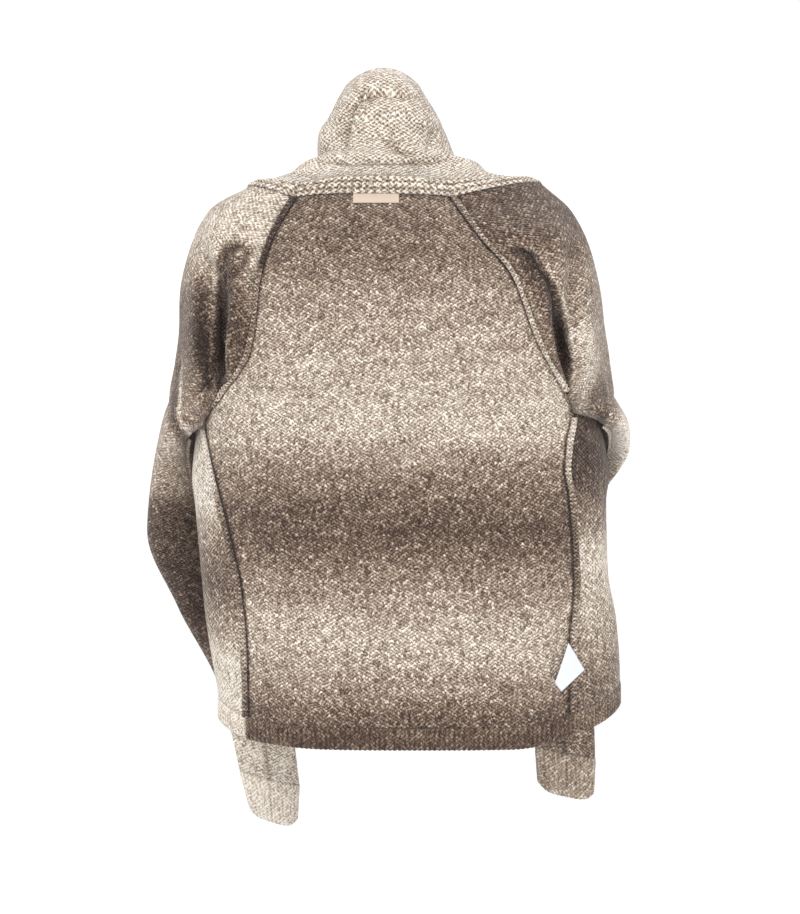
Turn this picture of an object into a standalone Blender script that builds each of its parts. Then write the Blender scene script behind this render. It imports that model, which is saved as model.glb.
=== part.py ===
# A chunky raglan cardigan in space-dyed wool, worn inside out, with its seam allowances outside.
# Metres. The wearer faces +Y, so the view of the back looks along +Y, and +X is to the right in it.
# The origin is the middle of the neck opening, at the height of the back neckline.

import bpy
import numpy as np

for old in list(bpy.data.objects):
    bpy.data.objects.remove(old)

# Cloth walls and the gap between neighbouring pieces
CLOTH = 0.003
BAND_CLOTH = 0.004
COLLAR_CLOTH = 0.0045
GAP = 0.0003

# The narrow first column along a seam, how far a sleeve stands off the body beside it, and the room
# that its edges leave where they turn under the arm
LIP = 0.009
STAND_OFF = 0.0100
UNDERARM_GAP = 0.0060

# Raised seam allowances: their reach on the body's side and on the other side, and their height
SEAM_NEAR = 0.0025
SEAM_FAR = 0.0050
SEAM_HEIGHT = 0.0038
SEAM_GAP = 0.0005

# Ribbed edges
RIB_PITCH = 0.0108
RIB_RISE = 0.0012
HEM_HEIGHT = 0.025

# Front bands, and the ridges of the collar's base band
BAND_WIDTH = 0.050
FRONT_SPLIT = 0.0030
BASE_BAND = 0.021
RIDGES = 3
RIDGE_RISE = 0.0014

# Squareness of the body ring in plan: 2 is an ellipse, more is boxier
BACK_SQUARE = 2.6
FRONT_SQUARE = 2.1

SIDES = {-1: "left", 1: "right"}
FINE = np.linspace(0, 1, 121)

# Base colour, roughness
COLOURS = dict(
    body=(0.21, 0.16, 0.13),
    sleeve=(0.26, 0.21, 0.17),
    chunky=(0.40, 0.35, 0.28),
    rib=(0.15, 0.11, 0.09),
    seam=(0.33, 0.28, 0.23),
    neck_tape=(0.83, 0.66, 0.58),
    care_tape=(0.88, 0.88, 0.87),
)


def table(columns, *rows):
    return dict(zip(columns.split(), np.array(rows, float).T))


# The body ring at each level below the origin: its outermost points in plan
BODY = table(
    "down  left    right   centre  back   front",
    (-0.02, -0.150, 0.128, -0.012, 0.0757, 0.072),
    (0.000, -0.152, 0.132, -0.012, 0.085, 0.080),
    (0.030, -0.168, 0.160, -0.008, 0.099, 0.092),
    (0.060, -0.183, 0.190, -0.004, 0.111, 0.102),
    (0.120, -0.196, 0.212, 0.003, 0.125, 0.114),
    (0.180, -0.203, 0.230, 0.008, 0.130, 0.120),
    (0.220, -0.209, 0.242, 0.011, 0.130, 0.121),
    (0.255, -0.2165, 0.252, 0.014, 0.129, 0.121),
    (0.290, -0.2240, 0.262, 0.016, 0.127, 0.120),
    (0.330, -0.2275, 0.267, 0.018, 0.125, 0.119),
    (0.357, -0.2245, 0.264, 0.021, 0.123, 0.118),
    (0.440, -0.2170, 0.266, 0.028, 0.120, 0.116),
    (0.500, -0.2110, 0.276, 0.035, 0.122, 0.116),
    (0.560, -0.2010, 0.280, 0.040, 0.126, 0.117),
    (0.640, -0.1850, 0.280, 0.043, 0.130, 0.118),
)

# The seam down each side of the back panel: the raglan to the underarm, then the side seam
BACK_SEAM = {
    -1: table(
        "down  x",
        (0.004, -0.104),
        (0.061, -0.133),
        (0.108, -0.145),
        (0.141, -0.1475),
        (0.186, -0.1555),
        (0.228, -0.1830),
        (0.250, -0.2010),
        (0.267, -0.2090),
        (0.290, -0.2055),
        (0.334, -0.1952),
        (0.400, -0.1786),
        (0.452, -0.1671),
        (0.530, -0.1594),
        (0.640, -0.1570),
    ),
    1: table(
        "down  x",
        (0.003, 0.079),
        (0.052, 0.113),
        (0.0925, 0.148),
        (0.128, 0.163),
        (0.162, 0.1745),
        (0.211, 0.1990),
        (0.238, 0.2140),
        (0.252, 0.2195),
        (0.290, 0.2130),
        (0.319, 0.2110),
        (0.350, 0.2163),
        (0.423, 0.2214),
        (0.452, 0.2225),
        (0.512, 0.2173),
        (0.640, 0.2160),
    ),
}
UNDERARM = {-1: 0.267, 1: 0.252}

# The front raglan from the neck corner to just before the underarm, as angles round the body
FRONT_RAGLAN = table(
    "along  angle  down",
    (0.00, 148.0, 0.015),
    (0.25, 140.0, 0.075),
    (0.50, 136.0, 0.140),
    (0.70, 126.0, 0.200),
    (0.85, 109.0, 0.248),
    (0.94, 90.0, 0.272),
)

# The neckline and the hem round the body, from the middle of the back
NECKLINE = table(
    "angle  down",
    (0.0, 0.000),
    (60.0, 0.004),
    (148.0, 0.015),
    (166.0, 0.036),
    (180.0, 0.044),
)
HEM = table(
    "angle  down",
    (-180.0, 0.615),
    (-90.0, 0.613),
    (-50.0, 0.632),
    (-20.0, 0.638),
    (20.0, 0.638),
    (48.0, 0.620),
    (90.0, 0.596),
    (180.0, 0.615),
)

# The line down the outside of each sleeve, the half depth of the tube, and its turn to the front.
# Stations 0 to 1 are the raglan, 1 is the underarm, 2 the top of the cuff and 2.25 its end.
SLEEVE_OUTER = {
    -1: table(
        "station  x       y      z        deep    turn  dip",
        (0.00, -0.1610, 0.000, 0.0150, 0.0700, 0.0, 0.0),
        (0.15, -0.2050, 0.004, -0.0085, 0.0900, 0.0, 0.0),
        (0.32, -0.2290, 0.005, -0.0520, 0.1040, 0.0, 0.0),
        (0.52, -0.2425, 0.006, -0.1090, 0.1080, 0.0, 0.0),
        (0.70, -0.2450, 0.015, -0.1520, 0.0980, 0.0, 0.0),
        (0.85, -0.2520, 0.030, -0.1900, 0.0840, 0.0, 0.0),
        (1.00, -0.2590, 0.050, -0.2280, 0.0720, 4.0, 0.0),
        (1.15, -0.2610, 0.098, -0.3000, 0.0620, 22.0, 2.0),
        (1.35, -0.2620, 0.130, -0.3950, 0.0640, 45.0, 4.0),
        (1.60, -0.2160, 0.152, -0.5000, 0.0580, 65.0, 8.0),
        (1.80, -0.1700, 0.160, -0.6020, 0.0440, 80.0, 12.0),
        (2.00, -0.1470, 0.162, -0.7120, 0.0380, 90.0, 15.0),
        (2.25, -0.1370, 0.160, -0.7670, 0.0350, 90.0, 15.0),
    ),
    1: table(
        "station  x       y      z        deep    turn  dip",
        (0.00, 0.1880, 0.000, 0.0200, 0.0700, 0.0, 0.0),
        (0.15, 0.2240, 0.004, -0.0120, 0.0900, 0.0, 0.0),
        (0.32, 0.2440, 0.005, -0.0520, 0.1040, 0.0, 0.0),
        (0.52, 0.2580, 0.006, -0.1090, 0.1080, 0.0, 0.0),
        (0.70, 0.2640, 0.015, -0.1480, 0.0980, 0.0, 0.0),
        (0.85, 0.2720, 0.030, -0.1850, 0.0840, 0.0, 0.0),
        (1.00, 0.2770, 0.050, -0.2220, 0.0700, 4.0, 0.0),
        (1.15, 0.2620, 0.106, -0.2800, 0.0500, 33.0, 0.0),
        (1.35, 0.2130, 0.150, -0.3660, 0.0520, 50.0, -4.0),
        (1.60, 0.2210, 0.164, -0.4900, 0.0500, 75.0, -8.0),
        (1.80, 0.2230, 0.160, -0.5900, 0.0430, 85.0, -10.0),
        (2.00, 0.2290, 0.152, -0.6790, 0.0370, 90.0, -12.0),
        (2.25, 0.2295, 0.150, -0.7340, 0.0345, 90.0, -12.0),
    ),
}

# The line down the inside of each sleeve, below the underarm point that starts it
SLEEVE_INNER = {
    -1: table(
        "station  x       y       z",
        (1.04, -0.2270, -0.0440, -0.2780),
        (1.08, -0.2350, -0.0180, -0.2920),
        (1.15, -0.2380, 0.0180, -0.3140),
        (1.35, -0.2240, 0.0820, -0.4000),
        (1.60, -0.1940, 0.1200, -0.5050),
        (1.80, -0.1640, 0.1280, -0.6050),
        (2.00, -0.1470, 0.1300, -0.7120),
        (2.25, -0.1370, 0.1300, -0.7670),
    ),
    1: table(
        "station  x       y       z",
        (1.04, 0.2500, -0.0600, -0.2620),
        (1.08, 0.2690, -0.0250, -0.2750),
        (1.15, 0.2730, 0.0240, -0.2980),
        (1.35, 0.2180, 0.1080, -0.3900),
        (1.60, 0.2090, 0.1270, -0.4950),
        (1.80, 0.2190, 0.1270, -0.5920),
        (2.00, 0.2290, 0.1260, -0.6790),
        (2.25, 0.2295, 0.1250, -0.7340),
    ),
}

# The large folds of each sleeve, where they start, are deepest and end. A minus depth is a ridge.
SLEEVE_FOLDS = {
    -1: table(
        "start  full  ease  end   angle_start  angle_end  width  depth",
        (0.28, 0.36, 0.85, 1.02, -52.0, -112.0, 13.0, 0.015),
        (0.18, 0.26, 0.32, 0.42, -66.0, -74.0, 20.0, -0.005),
        (0.70, 0.90, 1.12, 1.30, -28.0, -48.0, 11.0, 0.009),
    ),
    1: table(
        "start  full  ease  end   angle_start  angle_end  width  depth",
        (0.26, 0.34, 0.85, 1.02, -46.0, -112.0, 13.0, 0.014),
        (0.16, 0.24, 0.30, 0.40, -60.0, -70.0, 20.0, -0.005),
        (0.75, 0.92, 1.08, 1.22, -30.0, -50.0, 11.0, 0.007),
    ),
}

# The collar from the top of its base band to its rim
COLLAR = table(
    "rise  z_back  z_side  z_front  left    right   back    front",
    (0.00, 0.020, 0.020, -0.024, 0.1410, 0.1610, 0.088, 0.098),
    (0.10, 0.032, 0.029, -0.012, 0.1130, 0.1220, 0.091, 0.098),
    (0.18, 0.043, 0.044, -0.002, 0.0950, 0.1090, 0.090, 0.097),
    (0.27, 0.053, 0.052, 0.008, 0.0780, 0.0860, 0.086, 0.096),
    (0.40, 0.071, 0.074, 0.023, 0.0755, 0.0755, 0.082, 0.092),
    (0.55, 0.094, 0.094, 0.041, 0.0680, 0.0670, 0.077, 0.088),
    (0.70, 0.117, 0.111, 0.058, 0.0600, 0.0580, 0.067, 0.083),
    (0.85, 0.141, 0.127, 0.072, 0.0530, 0.0490, 0.045, 0.078),
    (1.00, 0.158, 0.141, 0.084, 0.0470, 0.0430, 0.010, 0.074),
)

NECK_LABEL = dict(left=-0.0350, right=0.0180, top=0.0006, bottom=0.0117, thick=0.0006)

# The care label's corners, from where the seam holds it to its free edge
CARE_CORNERS = table(
    "x      down",
    (0.2090, 0.5240),
    (0.2129, 0.5190),
    (0.2309, 0.5505),
    (0.2030, 0.5720),
)
CARE_THICK = 0.0012


# Curves and vectors

def smooth(columns, key, value, at):
    # A cubic curve through the rows that never swings past them
    x = columns[key]
    y = columns[value]
    at = np.clip(at, x[0], x[-1])
    step = np.diff(x)
    slope = np.diff(y) / step
    both = slope[:-1] * slope[1:]
    total = slope[:-1] + slope[1:]
    inner = np.where(both > 0, 2 * both / np.where(both > 0, total, 1), 0)
    lean = np.concatenate([slope[:1], inner, slope[-1:]])
    i = np.clip(np.searchsorted(x, at) - 1, 0, len(step) - 1)
    t = (at - x[i]) / step[i]
    low = y[i] * (1 + 2 * t) + lean[i] * step[i] * t
    high = y[i + 1] * (3 - 2 * t) + lean[i + 1] * step[i] * (t - 1)
    return low * (1 - t) ** 2 + high * t**2


def ease(low, high, at):
    t = np.clip((at - low) / (high - low), 0, 1)
    return t * t * (3 - 2 * t)


def mix(first, second, share):
    return first + (second - first) * share


def unit(vectors):
    return vectors / np.maximum(np.linalg.norm(vectors, axis=-1, keepdims=True), 1e-12)


def square_to(vectors, direction):
    # The vectors with their part along the direction taken out
    return unit(vectors - np.sum(vectors * direction, axis=-1, keepdims=True) * direction)


def normals_of(grid):
    # Rows run down, and columns run from the wearer's left round the back to the right
    return unit(np.cross(np.gradient(grid, axis=0), np.gradient(grid, axis=1)))


def lengths_of(rows):
    steps = np.linalg.norm(np.diff(rows, axis=1), axis=-1)
    return np.concatenate([np.zeros((len(rows), 1)), np.cumsum(steps, axis=1)], axis=1)


def place(rows, run, wanted):
    placed = [
        [np.interp(where, length, row[:, k]) for k in range(3)]
        for row, length, where in zip(rows, run, wanted)
    ]
    return np.array(placed).transpose(0, 2, 1)


def even(rows, columns, lips=(True, True), gap=GAP):
    # Even columns along each row but for a narrow one at a seam, half a gap short of both ends
    run = lengths_of(rows)
    total = run[:, -1:]
    low = gap / 2 + LIP * lips[0] + 0 * total
    high = total - gap / 2 - LIP * lips[1]
    wanted = mix(low, high, np.linspace(0, 1, columns + 1 - sum(lips)))
    ends = [0 * total + gap / 2] * lips[0], [total - gap / 2] * lips[1]
    return place(rows, run, np.concatenate([*ends[0], wanted, *ends[1]], axis=1))


# The body surface, by angle round it from the middle of the back and by distance below the origin

def body_halves(down):
    centre = smooth(BODY, "down", "centre", down)
    left = centre - smooth(BODY, "down", "left", down)
    right = smooth(BODY, "down", "right", down) - centre
    return centre, left, right


def body_point(angle, down):
    centre, left, right = body_halves(down)
    sideways = np.sin(np.radians(angle))
    backward = np.cos(np.radians(angle))
    power = 2 / np.where(backward > 0, BACK_SQUARE, FRONT_SQUARE)
    half = np.where(sideways < 0, left, right)
    back = smooth(BODY, "down", "back", down)
    front = smooth(BODY, "down", "front", down)
    depth = np.where(backward > 0, back, front)
    x = centre + np.sign(sideways) * half * np.abs(sideways) ** power
    y = -np.sign(backward) * depth * np.abs(backward) ** power
    return np.stack([x, y, 0 * x - down], axis=-1)


def body_angle(x, down, front=False):
    centre, left, right = body_halves(down)
    offset = x - centre
    ratio = np.clip(np.abs(offset) / np.where(offset < 0, left, right), 0, 1)
    angle = np.degrees(np.arcsin(ratio ** ((FRONT_SQUARE if front else BACK_SQUARE) / 2)))
    return np.sign(offset) * (180 - angle if front else angle)


def body_normal(angle, down):
    turned = body_point(angle + 0.5, down) - body_point(angle - 0.5, down)
    lowered = body_point(angle, down + 0.001) - body_point(angle, down - 0.001)
    return unit(np.cross(lowered, turned))


def neck_down(angle):
    return smooth(NECKLINE, "angle", "down", np.abs(angle))


def hem_down(angle):
    return smooth(HEM, "angle", "down", angle)


# The seams. A seam's stations run from 0 at the neckline to 1 at the underarm, and to 2 at the hem.

def back_seam_angle(side, down):
    return body_angle(smooth(BACK_SEAM[side], "down", "x", down), down)


def back_seam(side, station):
    top = BACK_SEAM[side]["down"][0]
    bottom = hem_down(back_seam_angle(side, np.array(0.6))) - HEM_HEIGHT
    raglan = mix(top, UNDERARM[side], np.clip(station, 0, 1))
    down = raglan + (bottom - UNDERARM[side]) * np.clip(station - 1, 0, 1)
    return back_seam_angle(side, down), down


def front_seam(side, station):
    # The table stops short of the underarm point, which each side has at its own height
    angle, down = back_seam(side, np.maximum(station, 1))
    top = FRONT_RAGLAN["down"][0]
    drop = (UNDERARM[side] - top) / (UNDERARM[-1] - top)
    raglan = dict(
        along=np.append(FRONT_RAGLAN["along"], 1.0),
        angle=np.append(FRONT_RAGLAN["angle"], abs(back_seam(side, np.array(1.0))[0])),
        down=np.append(top + (FRONT_RAGLAN["down"] - top) * drop, UNDERARM[side]),
    )
    above = station < 1
    angle = np.where(above, side * smooth(raglan, "along", "angle", station), angle)
    return angle, np.where(above, smooth(raglan, "along", "down", station), down)


# The panels as fine rows from the neckline to the top of the hem rib

def back_rows(station):
    ends = [back_seam(side, station) for side in SIDES]
    corners = [BACK_SEAM[side]["down"][0] for side in SIDES]
    t = FINE
    down = mix(ends[0][1][:, None], ends[1][1][:, None], t)
    neck = mix(corners[0], corners[1], t) * np.abs(2 * t - 1) ** 2 - mix(corners[0], corners[1], t)
    low = [back_seam(side, np.array(2.0)) for side in SIDES]
    hem = hem_down(mix(low[0][0], low[1][0], t)) - HEM_HEIGHT - mix(low[0][1], low[1][1], t)
    down = down + neck * (1 - station[:, None] / 2) + hem * station[:, None] / 2
    return body_point(mix(back_seam_angle(-1, down), back_seam_angle(1, down), t), down)


def band_edge(side, down, reach=BAND_WIDTH):
    return body_angle(body_halves(down)[0] + side * reach, down, front=True)


def front_rows(side, station):
    # Each row runs from its seam to the front band
    t = FINE if side > 0 else 1 - FINE
    angle, down = front_seam(side, station)
    inner = inner_levels(side, station)
    top, bottom = inner_levels(side, np.array([0, 2]))
    corner = front_seam(side, np.array(0.0))
    low = front_seam(side, np.array(2.0))
    neck = neck_down(mix(corner[0], band_edge(side, top), t)) - mix(corner[1], top, t)
    hem = hem_down(mix(low[0], band_edge(side, bottom), t)) - HEM_HEIGHT - mix(low[1], bottom, t)
    level = mix(down[:, None], inner[:, None], t)
    level = level + neck * (1 - station[:, None] / 2) ** 6 + hem * (station[:, None] / 2) ** 6
    return body_point(mix(angle[:, None], band_edge(side, inner)[:, None], t), level)


def inner_levels(side, station):
    top = neck_down(band_edge(side, np.array(0.04)))
    bottom = hem_down(band_edge(side, np.array(0.6))) - HEM_HEIGHT
    return mix(top, bottom, station / 2)


def band_rows(side, station):
    # From the front panel to the split at the middle, and on down to the hem's edge
    t = FINE if side > 0 else 1 - FINE
    reach = mix(BAND_WIDTH, FRONT_SPLIT / 2, t)
    down = inner_levels(side, station)[:, None] + 0 * t
    top = neck_down(band_edge(side, np.array(0.04), reach)) - down[0]
    down = down + top * (1 - station[:, None] / 2) ** 6
    rows = body_point(band_edge(side, down, reach), down)
    return np.concatenate([rows, rows[-1:] - [0, 0, HEM_HEIGHT]])


# The sleeve surface as fine rows, one for each station

def sleeve_rows(side):
    station = SLEEVE_STATIONS
    outer_table = SLEEVE_OUTER[side]
    outer = np.stack([smooth(outer_table, "station", k, station) for k in "xyz"], axis=-1)
    back = body_point(*back_seam(side, np.minimum(station, 1)))
    front = body_point(*front_seam(side, np.minimum(station, 1)))
    inner_table = {"station": np.append(1.0, SLEEVE_INNER[side]["station"])}
    for k, value in zip("xyz", back[-1]):
        inner_table[k] = np.append(value, SLEEVE_INNER[side][k])
    inner = np.stack([smooth(inner_table, "station", k, station) for k in "xyz"], axis=-1)
    below = (station > 1)[:, None]
    back = np.where(below, inner, back)
    front = np.where(below, inner, front)
    half = np.linalg.norm(front - back, axis=-1) / 2
    deep = np.maximum(smooth(outer_table, "station", "deep", station), 1.02 * half)
    turn = np.radians(smooth(outer_table, "station", "turn", station))
    dip = np.radians(smooth(outer_table, "station", "dip", station))
    level = np.cos(dip)
    forward = np.stack([-side * np.sin(turn) * level, np.cos(turn) * level, -np.sin(dip)], axis=-1)
    opening = np.pi - np.arcsin(half / deep)
    cosine = np.cos(opening)[:, None]
    centre = ((front + back) / 2 - outer * cosine) / (1 - cosine)
    t = side * (2 * FINE - 1)
    angle = (opening[:, None] * t)[..., None]
    reach = (outer - centre)[:, None]
    depth = (deep[:, None] * forward)[:, None]
    rows = centre[:, None] + reach * np.cos(angle) + depth * np.sin(angle)
    # The ends are drawn onto the seams that they meet
    first, last = (back, front) if side > 0 else (front, back)
    share = FINE[:, None]
    rows = rows + (first - rows[:, 0])[:, None] * (1 - share) ** 3
    rows = rows + (last - rows[:, -1])[:, None] * share**3
    rows = folded(side, rows, station, np.degrees(angle[..., 0]), t)
    return stood_off(rows, station, t)


def folded(side, rows, station, angle, across):
    outward = normals_of(rows)
    depth = np.zeros(angle.shape)
    folds = SLEEVE_FOLDS[side]
    for i in range(len(folds["depth"])):
        fold = {name: column[i] for name, column in folds.items()}
        along = ease(fold["start"], fold["full"], station) - ease(fold["ease"], fold["end"], station)
        where = np.clip((station - fold["start"]) / (fold["end"] - fold["start"]), 0, 1)
        middle = mix(fold["angle_start"], fold["angle_end"], where)
        shape = np.exp(-(((angle - middle[:, None]) / fold["width"]) ** 2))
        depth += fold["depth"] * along[:, None] * shape
    return rows - outward * (depth * (1 - across**8))[..., None]


def stood_off(rows, station, across):
    # Any cloth that would lie in the body is drawn out from it, away from the seams
    x, y, z = rows[..., 0], rows[..., 1], rows[..., 2]
    centre, left, right = body_halves(-z)
    half = np.where(x < centre, left, right)
    back = smooth(BODY, "down", "back", -z)
    front = smooth(BODY, "down", "front", -z)
    depth = np.where(y < 0, back, front)
    square = np.where(y < 0, BACK_SQUARE, FRONT_SQUARE)
    size = (np.abs(x - centre) / half) ** square + (np.abs(y) / depth) ** square
    reach = np.hypot(x - centre, y)
    beyond = reach * (1 - size ** (-1 / square))
    free = ease(1, 1.03, station)[:, None]
    clear = STAND_OFF * mix(1 - across**16, 1, free)
    window = mix(1 - across**30, 1, free)
    soft = 0.0025
    wanted = clear + soft * np.logaddexp(0, (beyond - clear) / soft)
    scale = 1 + (wanted - beyond) * window / reach
    return np.stack([centre + (x - centre) * scale, y * scale, z], axis=-1)


def sleeve_at(side, station):
    rows = SLEEVES[side]
    where = np.asarray(station) / SLEEVE_STATIONS[-1] * (len(rows) - 1)
    low = np.minimum(where.astype(int), len(rows) - 2)
    return mix(rows[low], rows[low + 1], (where - low)[:, None, None])


SLEEVE_STATIONS = np.linspace(0, 2.25, 226)
SLEEVES = {side: sleeve_rows(side) for side in SIDES}


# The direction halfway between the outsides of both panels along a raglan

def seam_direction(side, station, front):
    angle, down = (front_seam if front else back_seam)(side, station)
    t = FINE * 14 * side * (1 if front else -1)
    body = body_point(angle[:, None] + t, down[:, None] + 0 * t)
    sleeve = sleeve_at(side, station)
    starts = (side > 0) != front
    sleeve = sleeve if starts else sleeve[:, ::-1]
    along = unit(np.gradient(body[:, 0], axis=0))
    into = [square_to(place(rows, lengths_of(rows), np.full((len(rows), 1), LIP))[:, 0] - body[:, 0], along)
            for rows in (body, sleeve)]
    flip = 1 if starts else -1
    outward = body_normal(angle, down) + unit(np.cross(along, into[1])) * flip
    return unit(outward + into[0] + into[1])


RAGLAN_STATIONS = np.linspace(0, 1, 101)
DIRECTIONS = {
    (side, front): seam_direction(side, RAGLAN_STATIONS, front)
    for side in SIDES
    for front in (False, True)
}


def seam_outward(side, station, front):
    fine = DIRECTIONS[side, front]
    raglan = [np.interp(station, RAGLAN_STATIONS, fine[:, k]) for k in range(3)]
    below = body_normal(*back_seam(side, np.maximum(station, 1)))
    return np.where((station > 1)[:, None], below, unit(np.stack(raglan, axis=-1)))


# Walls and objects

WALLS = {}
EDGES = {
    "top": (0, slice(None)),
    "bottom": (-1, slice(None)),
    "first": (slice(None), 0),
    "last": (slice(None), -1),
}
RAGLAN_ROWS = np.concatenate([np.linspace(0, 0.9, 11), [0.95, 1]])
TUBE_ROWS = np.concatenate([[1.03, 1.07, 1.12], np.linspace(1.1, 2, 11)[1:]])
SEAM_ROWS = np.concatenate([RAGLAN_ROWS, np.linspace(1, 2, 13)[1:]])


def material(name):
    made = bpy.data.materials.new(name)
    made.use_nodes = True
    shader = made.node_tree.nodes["Principled BSDF"]
    shader.inputs["Base Color"].default_value = (*COLOURS[name], 1)
    shader.inputs["Roughness"].default_value = 0.95
    shader.inputs["Metallic"].default_value = 0
    made.diffuse_color = (*COLOURS[name], 1)
    return made


def add_object(name, points, faces, colour):
    mesh = bpy.data.meshes.new(name)
    mesh.from_pydata(points.reshape(-1, 3).tolist(), [], faces)
    mesh.shade_smooth()
    mesh.set_sharp_from_angle(angle=np.radians(50))
    mesh.materials.append(material(colour))
    CARDIGAN.objects.link(bpy.data.objects.new(name, mesh))


def quads(grid):
    a, b = grid[:-1, :-1], grid[:-1, 1:]
    c, d = grid[1:, 1:], grid[1:, :-1]
    return np.stack([a, b, c, d], axis=-1).reshape(-1, 4).tolist()


def cloth(name, middle, colour, thick=CLOTH, rise=0, outside={}, inside={}):
    # A wall about its middle, plain inside and raised outside by the rise. Given directions replace
    # the wall's own at the rows or columns that they are named for.
    own = normals_of(middle)
    out, back = own.copy(), own.copy()
    for directions, given in ((out, outside), (back, inside)):
        for where, values in given.items():
            directions[EDGES[where]] = values
    rise = np.broadcast_to(rise, middle.shape[:2])[..., None]
    outer = middle + out * (thick / 2 + rise)
    inner = middle - back * thick / 2
    near = np.arange(middle.shape[0] * middle.shape[1]).reshape(middle.shape[:2])
    far = near + near.size
    # The rims that face each other across a seam are split along the same diagonals
    turned = slice(None, None, -1)
    rims = quads(np.stack([near[0], far[0]])) + quads(np.stack([near[:, -1], far[:, -1]]))
    for edge in ((-1, turned), (turned, 0)):
        rims += np.roll(quads(np.stack([near[edge], far[edge]])), 1, axis=1).tolist()
    faces = quads(near.T) + quads(far) + rims
    points = np.concatenate([outer.reshape(-1, 3), inner.reshape(-1, 3)])
    add_object(name, points, faces, colour)
    WALLS[name] = dict(middle=middle, outer=outer, own=own, out=out)


def seam_edge(pieces, last):
    # The outside of the walls along a seam, the way into the cloth and the way out of it
    column, beside = (-1, -2) if last else (0, 1)
    walls = [(WALLS[name], rows) for name, rows in pieces]
    edge = np.concatenate([wall["outer"][rows, column] for wall, rows in walls])
    inward = unit(np.concatenate([wall["outer"][rows, beside] for wall, rows in walls]) - edge)
    outward = np.concatenate([wall["out"][rows, column] for wall, rows in walls])
    return edge, inward, square_to(outward, inward)


def cord(name, left, right, reaches):
    # A raised seam allowance, made from the outsides of the walls that meet at the seam
    first, into_first, out_first = seam_edge(left, last=True)
    last, into_last, out_last = seam_edge(right, last=False)
    outward = unit(out_first + out_last)
    middle = (first + last) / 2

    def on_side(edge, inward, away, reach, share, height):
        return edge + inward * (reach * share) + away * (SEAM_GAP + height * SEAM_HEIGHT)
    before = (first, into_first, out_first, reaches[0])
    after = (last, into_last, out_last, reaches[1])
    ring = [on_side(*before, 1, 0), middle + outward * SEAM_GAP, on_side(*after, 1, 0)]
    ring += [on_side(*after, 0.96, 0.62), on_side(*after, 0.62, 1)]
    ring += [middle + outward * (SEAM_GAP + 1.08 * SEAM_HEIGHT)]
    ring += [on_side(*before, 0.62, 1), on_side(*before, 0.96, 0.62)]
    points = np.stack(ring, axis=1)
    index = np.arange(len(points) * len(ring)).reshape(-1, len(ring))
    around = np.concatenate([index, index[:, :1]], axis=1)
    faces = quads(around) + [index[0, ::-1].tolist(), index[-1].tolist()]
    add_object(name, points, faces, "seam")


# The pieces

def ribbed(name, top, bottom, **given):
    # A ribbed edge that hangs from a row of points, three columns to a rib and raised beside a seam
    count = int(round(lengths_of(top[None])[0, -1] / RIB_PITCH))
    rows = [even(row[None], count * 3, lips=(False, False))[0] for row in (top, bottom)]
    start = rows[0] + unit(rows[1] - rows[0]) * GAP
    column = np.arange(count * 3 + 1)
    beside = np.minimum(column, count * 3 - column) < 3
    rise = np.where((column % 3 > 0) | beside, RIB_RISE, 0)
    cloth(name, np.stack([start, rows[1]]), "rib", rise=rise, **given)


def make_back():
    rows = even(back_rows(SEAM_ROWS), 18)
    outside = {"first": seam_outward(-1, SEAM_ROWS, False), "last": seam_outward(1, SEAM_ROWS, False)}
    cloth("back_panel", rows, "body", outside=outside)


def make_front(side):
    lips = (side > 0, side < 0)
    rows = even(front_rows(side, SEAM_ROWS), 12, lips)
    seam = "first" if side > 0 else "last"
    outside = {seam: seam_outward(side, SEAM_ROWS, True)}
    cloth(f"front_{SIDES[side]}_panel", rows, "body", outside=outside)
    rows = even(band_rows(side, SEAM_ROWS), 4, (False, False))
    cloth(f"front_band_{SIDES[side]}", rows, "chunky", BAND_CLOTH)


def make_hem():
    lengths = {"back": "back_panel", "front_left": "front_left_panel", "front_right": "front_right_panel"}
    for name, panel in lengths.items():
        top = WALLS[panel]["middle"][-1]
        ribbed(f"hem_rib_{name}", top, top - [0, 0, HEM_HEIGHT])


def make_sleeve(side):
    station = np.concatenate([RAGLAN_ROWS, TUBE_ROWS])
    turn_under = ease(0.8, 0.9, station) * (station <= 1)
    rows = even(sleeve_at(side, station), 20, gap=GAP + UNDERARM_GAP * turn_under[:, None])
    own = normals_of(rows)
    inner = unit(own[:, 0] + own[:, -1])
    below = (station > 1)[:, None]
    outside = {}
    inside = {}
    for where, front, column in (("first", side < 0, 0), ("last", side > 0, -1)):
        outside[where] = np.where(below, inner, seam_outward(side, station, front))
        inside[where] = np.where((station >= 1)[:, None], inner, own[:, column])
    cloth(f"sleeve_{SIDES[side]}", rows, "sleeve", outside=outside, inside=inside)
    bottom = even(sleeve_at(side, np.array([2.25])), 20)[0]
    low = normals_of(np.stack([rows[-1], bottom]))
    shared = unit(low[:, 0] + low[:, -1])
    ends = {"first": shared, "last": shared}
    ribbed(f"cuff_rib_{SIDES[side]}", rows[-1], bottom, outside=ends, inside=ends)


def collar_sizes(angle, rise):
    size = {name: smooth(COLLAR, "rise", name, rise) for name in COLLAR}
    half = np.where(angle < 0, size["left"], size["right"])
    middle = (size["front"] - size["back"]) / 2
    depth = (size["front"] + size["back"]) / 2
    return size, half, middle, depth


def collar_point(angle, rise):
    size, half, middle, depth = collar_sizes(angle, rise)
    backward = np.cos(np.radians(angle))
    far = np.where(backward > 0, size["z_back"], size["z_front"])
    z = size["z_side"] + (far - size["z_side"]) * backward**2
    return np.stack([half * np.sin(np.radians(angle)), middle - depth * backward, z], axis=-1)


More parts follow.
